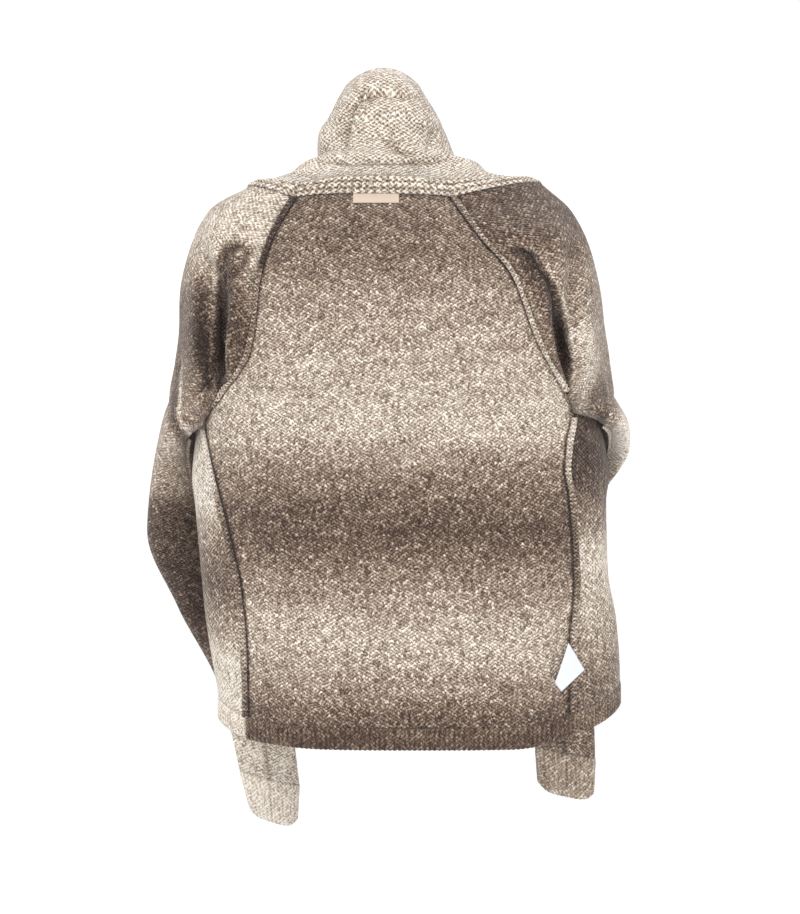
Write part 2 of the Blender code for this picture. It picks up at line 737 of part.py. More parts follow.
def neckline(columns):
    # The top edges of all the panels and their outward directions, at angles round the collar that
    # take in the corners of the sleeves
    names = ["front_band_left", "front_left_panel", "sleeve_left", "back_panel"]
    names += ["sleeve_right", "front_right_panel", "front_band_right"]
    edge = np.concatenate([WALLS[name]["middle"][0] for name in names])
    outward = np.concatenate([WALLS[name]["own"][0] for name in names])
    _, half, middle, depth = collar_sizes(edge[:, 0], 0 * edge[:, 0])
    turn = np.degrees(np.unwrap(np.arctan2(edge[:, 0] / half, (middle - edge[:, 1]) / depth)))
    angle = np.linspace(turn[0], turn[-1], columns + 1)
    sizes = np.cumsum([WALLS[name]["middle"].shape[1] for name in names])
    for corner in (sizes[1], sizes[2], sizes[3], sizes[4]):
        at = (turn[corner - 1] + turn[corner]) / 2
        angle[np.abs(angle - at).argmin()] = at
    found = []
    for values in (edge, outward):
        found.append(np.stack([np.interp(angle, turn, values[:, k]) for k in range(3)], axis=-1))
    # Lifted over any point of the panels' edges that stands above its straight lengths
    over = np.maximum(edge[:, 2] - np.interp(turn, angle, found[0][:, 2]), 0)
    near = np.abs(turn - angle[:, None]) < 360 / columns
    found[0][:, 2] += (over * near).max(axis=1)
    return angle, found[0], unit(found[1])


def evened(values):
    for _ in range(4):
        middle = (values[:-2] + 2 * values[1:-1] + values[2:]) / 4
        values = np.concatenate([values[:1], middle, values[-1:]])
    return values


def make_collar():
    angle, low, outward = neckline(36)
    toward = unit(collar_point(angle, 0 * angle + 0.12) - low)
    top = evened(low + toward * BASE_BAND)
    share = np.linspace(1, 0, 2 * RIDGES + 1)[:, None, None]
    swell = square_to(outward, toward) * 0.003 * np.sin(np.pi * share)
    middle = mix(low + toward * 1.3 * GAP, top - toward * GAP / 2, share) + swell
    rise = np.linspace(1, 0, 13)[:, None]
    shift = (top - collar_point(angle, 0 * angle)) * (1 - ease(0, 0.27, rise))[..., None]
    collar = collar_point(angle + 0 * rise, rise + 0 * angle) + shift
    collar[-1] = top + toward * 1.5 * GAP
    joined = square_to(evened(normals_of(collar)[-1] + normals_of(middle)[0]), toward)
    ridge = RIDGE_RISE * (np.arange(2 * RIDGES + 1) % 2)[:, None]
    ends = {"top": joined, "bottom": outward}
    cloth("collar_base_band", middle, "chunky", COLLAR_CLOTH, ridge, outside=ends, inside=ends)
    ends = {"bottom": joined}
    cloth("collar", collar, "chunky", COLLAR_CLOTH, outside=ends, inside=ends)


def make_seams(side):
    # The allowances lie toward the sleeve and the front, so they reach farther over those
    name = SIDES[side]
    raglan = slice(0, 11)
    below = slice(13, None)
    sleeve = [(f"sleeve_{name}", raglan)]
    back = [("back_panel", raglan)]
    front = [(f"front_{name}_panel", slice(1, 10))]
    front_sleeve = [(f"sleeve_{name}", slice(1, 10))]
    wide_first = (SEAM_FAR, SEAM_NEAR)
    wide_last = (SEAM_NEAR, SEAM_FAR)
    if side < 0:
        cord("raglan_seam_back_left", sleeve, back, wide_first)
        cord("raglan_seam_front_left", front, front_sleeve, wide_last)
    else:
        cord("raglan_seam_back_right", back, sleeve, wide_last)
        cord("raglan_seam_front_right", front_sleeve, front, wide_first)
    front = [(f"front_{name}_panel", below), (f"hem_rib_front_{name}", slice(None))]
    back = [("back_panel", below), ("hem_rib_back", slice(None))]
    if side < 0:
        cord("side_seam_left", front, back, wide_first)
    else:
        cord("side_seam_right", back, front, wide_last)
    tube = [(f"sleeve_{name}", slice(15, None))]
    cord(f"sleeve_seam_{name}", tube, tube, (SEAM_NEAR, SEAM_NEAR))


def on_back(x, down, lift):
    angle = body_angle(x, down)
    return body_point(angle, down) + body_normal(angle, down) * lift


def make_labels():
    size = NECK_LABEL
    x = np.linspace(size["left"], size["right"], 7)[None, :]
    down = np.linspace(size["top"], size["bottom"], 3)[:, None]
    lift = CLOTH / 2 + 2 * GAP + size["thick"] / 2
    cloth("neck_label", on_back(x + 0 * down, down + 0 * x, lift), "neck_tape", size["thick"])
    u = np.linspace(0, 1, 5)[None, :]
    v = np.linspace(0, 1, 6)[:, None]
    corners = [mix(mix(c[0], c[1], u), mix(c[3], c[2], u), v) for c in (CARE_CORNERS["x"], CARE_CORNERS["down"])]
    lift = CLOTH / 2 + SEAM_HEIGHT * 1.1 + 3 * GAP + CARE_THICK / 2 + 0.004 * v * (1 - 0.6 * u)
    cloth("care_label", on_back(*corners, lift[..., None]), "care_tape", CARE_THICK)


CARDIGAN = bpy.data.collections.new("cardigan")
bpy.context.scene.collection.children.link(CARDIGAN)
make_back()
for each in SIDES:
    make_front(each)
    make_sleeve(each)
make_hem()
make_collar()
for each in SIDES:
    make_seams(each)
make_labels()
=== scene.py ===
# The looks of a chunky raglan cardigan, worn inside out: fine cloth shells, rolled seam allowances,
# ribs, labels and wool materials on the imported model, with studio light and the camera.
# Metres. The view of the back looks along +Y, and +X is to the right in it.

import bpy
import mathutils
import numpy as np
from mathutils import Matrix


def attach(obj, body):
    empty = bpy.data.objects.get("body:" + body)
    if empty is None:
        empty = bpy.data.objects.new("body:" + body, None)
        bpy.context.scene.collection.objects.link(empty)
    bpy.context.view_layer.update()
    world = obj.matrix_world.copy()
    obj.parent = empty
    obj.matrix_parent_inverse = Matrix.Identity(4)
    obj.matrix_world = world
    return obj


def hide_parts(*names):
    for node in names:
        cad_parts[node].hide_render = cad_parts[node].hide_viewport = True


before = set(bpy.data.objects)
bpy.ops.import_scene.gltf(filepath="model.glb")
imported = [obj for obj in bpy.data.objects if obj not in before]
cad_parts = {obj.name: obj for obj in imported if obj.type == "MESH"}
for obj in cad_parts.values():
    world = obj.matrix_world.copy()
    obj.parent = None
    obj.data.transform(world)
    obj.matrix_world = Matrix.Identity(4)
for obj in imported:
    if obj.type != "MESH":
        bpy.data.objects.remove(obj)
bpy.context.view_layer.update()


cloth = 0.003
gap = 0.0003
bandCloth = 0.004
heavyCloth = 0.0045
tapeThick = {"neck": 0.0006, "care": 0.0012}
squareBack = 2.6
squareFront = 2.1
bandWidth = 0.050
frontSplit = 0.0030
hemHeight = 0.025
standOff = 0.0100
sides = {-1: "left", 1: "right"}
fine = np.linspace(0, 1, 241)
backColumns = 190
frontColumns = 90
bandColumns = 20
sleeveColumns = 200
collarColumns = 420
ribColumns = 6
# Painted shade in the creases: how much the tone drops per metre of crease depth, on the sleeves and
# the collar
foldShade = {"sleeve": 26, "collar": 20}


def table(columns, *rows):
    return dict(zip(columns.split(), np.array(rows, float).T))


def foldsOf(*rows):
    # Rows of fold number, x, z, depth, and reach to the left and the right
    rows = np.array(rows, float)
    numbers = np.unique(rows[:, 0])
    return [table("x  z  depth  left  right", *rows[rows[:, 0] == number, 1:]) for number in numbers]


# The body ring at each level below the neckline

bodyTable = table(
    "down  left    right   centre  back   front",
    (-0.02, -0.150, 0.128, -0.012, 0.0757, 0.072),
    (0.000, -0.152, 0.132, -0.012, 0.085, 0.080),
    (0.030, -0.168, 0.160, -0.008, 0.099, 0.092),
    (0.060, -0.183, 0.190, -0.004, 0.111, 0.102),
    (0.120, -0.196, 0.212, 0.003, 0.125, 0.114),
    (0.180, -0.203, 0.230, 0.008, 0.130, 0.120),
    (0.220, -0.209, 0.242, 0.011, 0.130, 0.121),
    (0.255, -0.2165, 0.252, 0.014, 0.129, 0.121),
    (0.290, -0.224, 0.262, 0.016, 0.127, 0.120),
    (0.330, -0.2275, 0.267, 0.018, 0.125, 0.119),
    (0.357, -0.2245, 0.264, 0.021, 0.123, 0.118),
    (0.440, -0.217, 0.266, 0.028, 0.120, 0.116),
    (0.500, -0.211, 0.276, 0.035, 0.122, 0.116),
    (0.560, -0.201, 0.280, 0.040, 0.126, 0.117),
    (0.640, -0.185, 0.280, 0.043, 0.130, 0.118),
)

backSeamTable = {}
backSeamTable[-1] = table(
    "down  x",
    (0.004, -0.104),
    (0.061, -0.133),
    (0.108, -0.145),
    (0.141, -0.1475),
    (0.186, -0.1555),
    (0.228, -0.183),
    (0.250, -0.201),
    (0.267, -0.209),
    (0.290, -0.2055),
    (0.334, -0.1952),
    (0.400, -0.1786),
    (0.452, -0.1671),
    (0.530, -0.1594),
    (0.640, -0.157),
)
backSeamTable[1] = table(
    "down  x",
    (0.003, 0.079),
    (0.052, 0.113),
    (0.0925, 0.148),
    (0.128, 0.163),
    (0.162, 0.1745),
    (0.211, 0.199),
    (0.238, 0.214),
    (0.252, 0.2195),
    (0.290, 0.213),
    (0.319, 0.211),
    (0.350, 0.2163),
    (0.423, 0.2214),
    (0.452, 0.2225),
    (0.512, 0.2173),
    (0.640, 0.216),
)
underarm = {-1: 0.267, 1: 0.252}

frontRaglan = table(
    "along  angle  down",
    (0.00, 148.0, 0.015),
    (0.25, 140.0, 0.075),
    (0.50, 136.0, 0.140),
    (0.70, 126.0, 0.200),
    (0.85, 109.0, 0.248),
    (0.94, 90.0, 0.272),
)
necklineTable = table(
    "angle  down",
    (0.0, 0.000),
    (60.0, 0.004),
    (148.0, 0.015),
    (166.0, 0.036),
    (180.0, 0.044),
)
hemTable = table(
    "angle  down",
    (-180.0, 0.615),
    (-90.0, 0.613),
    (-50.0, 0.632),
    (-20.0, 0.638),
    (20.0, 0.638),
    (48.0, 0.620),
    (90.0, 0.596),
    (180.0, 0.615),
)

# The outside and inside lines of each sleeve: stations 0 to 1 are the raglan, 2 is the cuff's top

sleeveOuter = {}
sleeveOuter[-1] = table(
    "station  x       y      z        deep    turn  dip",
    (0.00, -0.161, 0.000, 0.015, 0.070, 0.0, 0.0),
    (0.15, -0.205, 0.004, -0.0085, 0.090, 0.0, 0.0),
    (0.32, -0.229, 0.005, -0.052, 0.104, 0.0, 0.0),
    (0.52, -0.2425, 0.006, -0.109, 0.108, 0.0, 0.0),
    (0.70, -0.245, 0.015, -0.152, 0.098, 0.0, 0.0),
    (0.85, -0.252, 0.030, -0.190, 0.084, 0.0, 0.0),
    (1.00, -0.259, 0.050, -0.228, 0.072, 4.0, 0.0),
    (1.15, -0.261, 0.098, -0.300, 0.062, 22.0, 2.0),
    (1.35, -0.262, 0.130, -0.395, 0.064, 45.0, 4.0),
    (1.60, -0.216, 0.152, -0.500, 0.058, 65.0, 8.0),
    (1.80, -0.170, 0.160, -0.602, 0.044, 80.0, 12.0),
    (2.00, -0.147, 0.162, -0.712, 0.038, 90.0, 15.0),
    (2.25, -0.137, 0.160, -0.767, 0.035, 90.0, 15.0),
)
sleeveOuter[1] = table(
    "station  x       y      z        deep    turn  dip",
    (0.00, 0.188, 0.000, 0.020, 0.070, 0.0, 0.0),
    (0.15, 0.224, 0.004, -0.012, 0.090, 0.0, 0.0),
    (0.32, 0.244, 0.005, -0.052, 0.104, 0.0, 0.0),
    (0.52, 0.258, 0.006, -0.109, 0.108, 0.0, 0.0),
    (0.70, 0.264, 0.015, -0.148, 0.098, 0.0, 0.0),
    (0.85, 0.272, 0.030, -0.185, 0.084, 0.0, 0.0),
    (1.00, 0.277, 0.050, -0.222, 0.070, 4.0, 0.0),
    (1.15, 0.262, 0.106, -0.280, 0.050, 33.0, 0.0),
    (1.35, 0.213, 0.150, -0.366, 0.052, 50.0, -4.0),
    (1.60, 0.221, 0.164, -0.490, 0.050, 75.0, -8.0),
    (1.80, 0.223, 0.160, -0.590, 0.043, 85.0, -10.0),
    (2.00, 0.229, 0.152, -0.679, 0.037, 90.0, -12.0),
    (2.25, 0.2295, 0.150, -0.734, 0.0345, 90.0, -12.0),
)
sleeveInner = {}
sleeveInner[-1] = table(
    "station  x       y       z",
    (1.04, -0.227, -0.044, -0.278),
    (1.08, -0.235, -0.018, -0.292),
    (1.15, -0.238, 0.018, -0.314),
    (1.35, -0.224, 0.082, -0.400),
    (1.60, -0.194, 0.120, -0.505),
    (1.80, -0.164, 0.128, -0.605),
    (2.00, -0.147, 0.130, -0.712),
    (2.25, -0.137, 0.130, -0.767),
)
sleeveInner[1] = table(
    "station  x       y       z",
    (1.04, 0.250, -0.060, -0.262),
    (1.08, 0.269, -0.025, -0.275),
    (1.15, 0.273, 0.024, -0.298),
    (1.35, 0.218, 0.108, -0.390),
    (1.60, 0.209, 0.127, -0.495),
    (1.80, 0.219, 0.127, -0.592),
    (2.00, 0.229, 0.126, -0.679),
    (2.25, 0.2295, 0.125, -0.734),
)
sleeveFolds = {}
sleeveFolds[-1] = table(
    "start  full  ease  end   angleStart  angleEnd  width  depth",
    (0.28, 0.36, 0.85, 1.02, -52.0, -112.0, 13.0, 0.015),
    (0.18, 0.26, 0.32, 0.42, -66.0, -74.0, 20.0, -0.005),
    (0.70, 0.90, 1.12, 1.30, -28.0, -48.0, 11.0, 0.009),
)
sleeveFolds[1] = table(
    "start  full  ease  end   angleStart  angleEnd  width  depth",
    (0.26, 0.34, 0.85, 1.02, -46.0, -112.0, 13.0, 0.014),
    (0.16, 0.24, 0.30, 0.40, -60.0, -70.0, 20.0, -0.005),
    (0.75, 0.92, 1.08, 1.22, -30.0, -50.0, 11.0, 0.007),
)

# Folds seen from behind: their way in the view, each point's depth, and the reach on either hand of
# that way. A minus depth is a ridge.

viewFolds = {}
viewFolds[-1] = foldsOf(
    (1, -0.155, -0.070, 0.006, 0.005, 0.0026),
    (1, -0.164, -0.060, 0.011, 0.010, 0.0028),
    (1, -0.175, -0.061, 0.013, 0.015, 0.003),
    (1, -0.184, -0.069, 0.013, 0.020, 0.003),
    (1, -0.1895, -0.085, 0.012, 0.022, 0.003),
    (1, -0.190, -0.125, 0.012, 0.018, 0.003),
    (1, -0.1895, -0.156, 0.014, 0.010, 0.004),
    (1, -0.187, -0.185, 0.019, 0.0045, 0.009),
    (1, -0.1845, -0.215, 0.022, 0.0032, 0.011),
    (1, -0.185, -0.236, 0.008, 0.0032, 0.007),
    (2, -0.164, -0.094, -0.001, 0.004, 0.004),
    (2, -0.169, -0.114, -0.004, 0.005, 0.005),
    (2, -0.174, -0.148, -0.005, 0.005, 0.005),
    (2, -0.176, -0.190, -0.005, 0.005, 0.005),
    (2, -0.178, -0.217, -0.002, 0.004, 0.004),
    (3, -0.1525, -0.070, 0.005, 0.003, 0.004),
    (3, -0.158, -0.082, 0.007, 0.003, 0.005),
    (3, -0.166, -0.096, 0.002, 0.003, 0.004),
    (4, -0.200, -0.148, 0.001, 0.004, 0.007),
    (4, -0.203, -0.180, 0.007, 0.004, 0.007),
    (4, -0.204, -0.215, 0.008, 0.004, 0.008),
    (4, -0.199, -0.244, 0.002, 0.004, 0.007),
    (5, -0.200, -0.070, -0.003, 0.010, 0.016),
    (5, -0.208, -0.110, -0.006, 0.010, 0.018),
    (5, -0.215, -0.160, -0.006, 0.010, 0.018),
    (5, -0.218, -0.205, -0.003, 0.010, 0.016),
)
viewFolds[1] = foldsOf(
    (1, 0.145, -0.068, 0.004, 0.0028, 0.008),
    (1, 0.157, -0.066, 0.010, 0.003, 0.011),
    (1, 0.169, -0.070, 0.012, 0.0032, 0.016),
    (1, 0.179, -0.087, 0.012, 0.0032, 0.020),
    (1, 0.1945, -0.108, 0.012, 0.0032, 0.022),
    (1, 0.204, -0.139, 0.015, 0.0032, 0.018),
    (1, 0.212, -0.176, 0.020, 0.0032, 0.012),
    (1, 0.215, -0.205, 0.022, 0.0032, 0.009),
    (1, 0.212, -0.230, 0.009, 0.0032, 0.006),
    (2, 0.166, -0.076, -0.003, 0.004, 0.004),
    (2, 0.183, -0.113, -0.005, 0.005, 0.005),
    (2, 0.190, -0.160, -0.005, 0.005, 0.005),
    (2, 0.194, -0.200, -0.005, 0.005, 0.005),
    (2, 0.199, -0.226, -0.002, 0.004, 0.004),
    (3, 0.206, -0.070, -0.003, 0.016, 0.010),
    (3, 0.220, -0.115, -0.006, 0.018, 0.010),
    (3, 0.231, -0.165, -0.006, 0.018, 0.010),
    (3, 0.233, -0.210, -0.003, 0.016, 0.010),
    (4, 0.250, -0.212, 0.002, 0.006, 0.006),
    (4, 0.242, -0.235, 0.007, 0.006, 0.008),
    (4, 0.236, -0.260, 0.003, 0.006, 0.008),
)

# Marks on the sleeves, partly painted light and shade and partly darker yarn, in the same form: depth
# is how much darker, and a minus one is lighter. The thin lighter lines are painted highlights along
# fold edges, and the broad darker patches are painted shade in the hollows, mixed with darker yarn.

paintedLightAndYarnMarks = {}
paintedLightAndYarnMarks[-1] = foldsOf(
    (1, -0.164, -0.074, 0.20, 0.012, 0.012),
    (1, -0.169, -0.100, 0.20, 0.012, 0.012),
    (1, -0.170, -0.150, 0.10, 0.012, 0.012),
    (1, -0.172, -0.190, 0.04, 0.010, 0.010),
    (2, -0.212, -0.095, 0.06, 0.006, 0.006),
    (2, -0.211, -0.130, 0.26, 0.007, 0.007),
    (2, -0.212, -0.175, 0.34, 0.008, 0.008),
    (2, -0.210, -0.202, 0.12, 0.007, 0.007),
    (3, -0.2365, -0.189, -0.25, 0.0016, 0.0016),
    (3, -0.2365, -0.250, -0.40, 0.0018, 0.0018),
    (3, -0.227, -0.279, -0.40, 0.0018, 0.0018),
    (3, -0.221, -0.310, -0.20, 0.0018, 0.0018),
    (4, -0.243, -0.195, 0.10, 0.004, 0.006),
    (4, -0.243, -0.250, 0.30, 0.004, 0.007),
    (4, -0.233, -0.285, 0.35, 0.004, 0.007),
    (4, -0.227, -0.320, 0.30, 0.004, 0.007),
    (5, -0.199, -0.065, -0.10, 0.002, 0.002),
    (5, -0.1965, -0.100, -0.22, 0.0018, 0.0018),
    (5, -0.195, -0.140, -0.15, 0.0018, 0.0018),
)
paintedLightAndYarnMarks[1] = foldsOf(
    (1, 0.145, -0.062, -0.16, 0.0018, 0.0018),
    (1, 0.169, -0.065, -0.24, 0.0018, 0.0018),
    (1, 0.195, -0.100, -0.20, 0.0018, 0.0018),
    (1, 0.215, -0.150, -0.20, 0.002, 0.002),
    (1, 0.222, -0.190, -0.20, 0.002, 0.002),
    (2, 0.232, -0.150, -0.14, 0.012, 0.012),
    (2, 0.238, -0.195, -0.24, 0.014, 0.014),
    (2, 0.233, -0.235, -0.16, 0.012, 0.012),
    (3, 0.262, -0.215, -0.20, 0.002, 0.002),
    (3, 0.261, -0.260, -0.34, 0.0022, 0.0022),
    (3, 0.259, -0.320, -0.30, 0.0022, 0.0022),
    (4, 0.178, -0.090, 0.14, 0.010, 0.010),
    (4, 0.192, -0.140, 0.16, 0.010, 0.010),
    (4, 0.200, -0.190, 0.16, 0.009, 0.009),
    (5, 0.258, -0.218, 0.10, 0.009, 0.008),
    (5, 0.257, -0.244, 0.38, 0.012, 0.010),
    (5, 0.252, -0.280, 0.55, 0.013, 0.012),
    (5, 0.248, -0.330, 0.40, 0.014, 0.014),
    (6, 0.280, -0.238, -0.04, 0.007, 0.008),
    (6, 0.281, -0.262, -0.10, 0.008, 0.010),
    (6, 0.277, -0.295, -0.06, 0.008, 0.010),
)

collarTable = table(
    "rise  zBack  zSide  zFront  left    right   back    front",
    (0.00, 0.020, 0.020, -0.024, 0.141, 0.161, 0.088, 0.098),
    (0.10, 0.032, 0.029, -0.012, 0.113, 0.122, 0.091, 0.098),
    (0.18, 0.043, 0.044, -0.002, 0.095, 0.109, 0.090, 0.097),
    (0.27, 0.053, 0.052, 0.008, 0.078, 0.086, 0.086, 0.096),
    (0.40, 0.071, 0.074, 0.023, 0.0755, 0.0755, 0.082, 0.092),
    (0.55, 0.094, 0.094, 0.041, 0.068, 0.067, 0.077, 0.088),
    (0.70, 0.117, 0.111, 0.058, 0.060, 0.058, 0.067, 0.083),
    (0.85, 0.141, 0.127, 0.072, 0.053, 0.049, 0.045, 0.078),
    (1.00, 0.158, 0.141, 0.084, 0.047, 0.043, 0.010, 0.074),
)

# How light the yarn is at each distance down a piece

tones = {}
tones["back"] = table(
    "down  tone",
    (0.00, 0.50),
    (0.07, 0.53),
    (0.12, 0.66),
    (0.17, 0.73),
    (0.268, 0.80),
    (0.329, 0.58),
    (0.389, 0.43),
    (0.441, 0.60),
    (0.515, 0.78),
    (0.573, 0.64),
    (0.604, 0.47),
    (0.640, 0.42),
)
tones["front_left"] = table(
    "down  tone",
    (0.00, 0.50),
    (0.20, 0.60),
    (0.30, 0.90),
    (0.34, 0.94),
    (0.40, 0.62),
    (0.44, 0.48),
    (0.50, 0.66),
    (0.555, 0.93),
    (0.640, 0.90),
)
tones["front_right"] = table(
    "down  tone",
    (0.00, 0.70),
    (0.18, 0.55),
    (0.31, 0.31),
    (0.37, 0.56),
    (0.43, 0.88),
    (0.50, 0.72),
    (0.56, 0.58),
    (0.640, 0.45),
)
tones["sleeve_left"] = table(
    "down  tone",
    (-0.03, 0.78),
    (0.03, 0.84),
    (0.07, 0.72),
    (0.14, 0.46),
    (0.20, 0.58),
    (0.27, 0.74),
    (0.32, 0.74),
    (0.38, 0.42),
    (0.50, 0.32),
    (0.60, 0.55),
    (0.68, 0.88),
    (0.78, 0.92),
)
tones["sleeve_right"] = table(
    "down  tone",
    (-0.03, 0.42),
    (0.03, 0.45),
    (0.09, 0.64),
    (0.15, 0.66),
    (0.21, 0.64),
    (0.27, 1.00),
    (0.34, 0.50),
    (0.42, 0.40),
    (0.52, 0.60),
    (0.62, 0.52),
    (0.70, 0.62),
    (0.78, 0.60),
)


# Curves and vectors

def smooth(columns, key, value, at):
    x = columns[key]
    y = columns[value]
    at = np.clip(at, x[0], x[-1])
    step = np.diff(x)
    slope = np.diff(y) / step
    both = slope[:-1] * slope[1:]
    total = slope[:-1] + slope[1:]
    inner = np.where(both > 0, 2 * both / np.where(both > 0, total, 1), 0)
    lean = np.concatenate([slope[:1], inner, slope[-1:]])
    i = np.clip(np.searchsorted(x, at) - 1, 0, len(step) - 1)
    t = (at - x[i]) / step[i]
    low = y[i] * (1 + 2 * t) + lean[i] * step[i] * t
    high = y[i + 1] * (3 - 2 * t) + lean[i + 1] * step[i] * (t - 1)
    return low * (1 - t) ** 2 + high * t**2


def ease(low, high, at):
    t = np.clip((at - low) / (high - low), 0, 1)
    return t * t * (3 - 2 * t)


def mix(first, second, share):
    return first + (second - first) * share


def unit(vectors):
    return vectors / np.maximum(np.linalg.norm(vectors, axis=-1, keepdims=True), 1e-12)


def squareTo(vectors, direction):
    return unit(vectors - np.sum(vectors * direction, axis=-1, keepdims=True) * direction)


def normalsOf(grid):
    return unit(np.cross(np.gradient(grid, axis=0), np.gradient(grid, axis=1)))


def lengthsOf(rows):
    steps = np.linalg.norm(np.diff(rows, axis=1), axis=-1)
    return np.concatenate([np.zeros((len(rows), 1)), np.cumsum(steps, axis=1)], axis=1)


def place(rows, run, wanted):
    placed = [
        [np.interp(where, length, row[:, k]) for k in range(3)]
        for row, length, where in zip(rows, run, wanted)
    ]
    return np.array(placed).transpose(0, 2, 1)


def even(rows, columns, short=gap / 2):
    # Even columns along each row, a little short of both ends
    run = lengthsOf(rows)
    total = run[:, -1:]
    return place(rows, run, mix(short + 0 * total, total - short, np.linspace(0, 1, columns + 1)))


# The body surface

def bodyHalves(down):
    centre = smooth(bodyTable, "down", "centre", down)
    left = centre - smooth(bodyTable, "down", "left", down)
    right = smooth(bodyTable, "down", "right", down) - centre
    return centre, left, right


def bodyPoint(angle, down):
    centre, left, right = bodyHalves(down)
    sideways = np.sin(np.radians(angle))
    backward = np.cos(np.radians(angle))
    power = 2 / np.where(backward > 0, squareBack, squareFront)
    half = np.where(sideways < 0, left, right)
    back = smooth(bodyTable, "down", "back", down)
    front = smooth(bodyTable, "down", "front", down)
    depth = np.where(backward > 0, back, front)
    x = centre + np.sign(sideways) * half * np.abs(sideways) ** power
    y = -np.sign(backward) * depth * np.abs(backward) ** power
    return np.stack([x, y, 0 * x - down], axis=-1)


def bodyAngle(x, down, front=False):
    centre, left, right = bodyHalves(down)
    offset = x - centre
    ratio = np.clip(np.abs(offset) / np.where(offset < 0, left, right), 0, 1)
    angle = np.degrees(np.arcsin(ratio ** ((squareFront if front else squareBack) / 2)))
    return np.sign(offset) * (180 - angle if front else angle)


def bodyNormal(angle, down):
    turned = bodyPoint(angle + 0.5, down) - bodyPoint(angle - 0.5, down)
    lowered = bodyPoint(angle, down + 0.001) - bodyPoint(angle, down - 0.001)
    return unit(np.cross(lowered, turned))


def neckDown(angle):
    return smooth(necklineTable, "angle", "down", np.abs(angle))


def hemDown(angle):
    return smooth(hemTable, "angle", "down", angle)


def backSeamAngle(side, down):
    return bodyAngle(smooth(backSeamTable[side], "down", "x", down), down)


def backSeam(side, station):
    top = backSeamTable[side]["down"][0]
    bottom = hemDown(backSeamAngle(side, np.array(0.6))) - hemHeight
    raglan = mix(top, underarm[side], np.clip(station, 0, 1))
    down = raglan + (bottom - underarm[side]) * np.clip(station - 1, 0, 1)
    return backSeamAngle(side, down), down


def frontSeam(side, station):
    angle, down = backSeam(side, np.maximum(station, 1))
    top = frontRaglan["down"][0]
    drop = (underarm[side] - top) / (underarm[-1] - top)
    raglan = dict(
        along=np.append(frontRaglan["along"], 1.0),
        angle=np.append(frontRaglan["angle"], abs(backSeam(side, np.array(1.0))[0])),
        down=np.append(top + (frontRaglan["down"] - top) * drop, underarm[side]),
    )
    above = station < 1
    angle = np.where(above, side * smooth(raglan, "along", "angle", station), angle)
    return angle, np.where(above, smooth(raglan, "along", "down", station), down)


def backRows(station):
    ends = [backSeam(side, station) for side in sides]
    corners = [backSeamTable[side]["down"][0] for side in sides]
    t = fine
    down = mix(ends[0][1][:, None], ends[1][1][:, None], t)
    neck = mix(corners[0], corners[1], t) * np.abs(2 * t - 1) ** 2 - mix(corners[0], corners[1], t)
    low = [backSeam(side, np.array(2.0)) for side in sides]
    hem = hemDown(mix(low[0][0], low[1][0], t)) - hemHeight - mix(low[0][1], low[1][1], t)
    down = down + neck * (1 - station[:, None] / 2) + hem * station[:, None] / 2
    return bodyPoint(mix(backSeamAngle(-1, down), backSeamAngle(1, down), t), down)


def bandEdge(side, down, reach=bandWidth):
    return bodyAngle(bodyHalves(down)[0] + side * reach, down, front=True)


def innerLevels(side, station):
    top = neckDown(bandEdge(side, np.array(0.04)))
    bottom = hemDown(bandEdge(side, np.array(0.6))) - hemHeight
    return mix(top, bottom, station / 2)


def frontRows(side, station):
    t = fine if side > 0 else 1 - fine
    angle, down = frontSeam(side, station)
    inner = innerLevels(side, station)
    top, bottom = innerLevels(side, np.array([0, 2]))
    corner = frontSeam(side, np.array(0.0))
    low = frontSeam(side, np.array(2.0))
    neck = neckDown(mix(corner[0], bandEdge(side, top), t)) - mix(corner[1], top, t)
    hem = hemDown(mix(low[0], bandEdge(side, bottom), t)) - hemHeight - mix(low[1], bottom, t)
    level = mix(down[:, None], inner[:, None], t)
    level = level + neck * (1 - station[:, None] / 2) ** 6 + hem * (station[:, None] / 2) ** 6
    return bodyPoint(mix(angle[:, None], bandEdge(side, inner)[:, None], t), level)


def bandRows(side, station):
    t = fine if side > 0 else 1 - fine
    reach = mix(bandWidth, frontSplit / 2, t)
    down = innerLevels(side, station)[:, None] + 0 * t
    top = neckDown(bandEdge(side, np.array(0.04), reach)) - down[0]
    down = down + top * (1 - station[:, None] / 2) ** 6
    rows = bodyPoint(bandEdge(side, down, reach), down)
    return np.concatenate([rows, rows[-1:] - [0, 0, hemHeight]])


# The sleeve surface

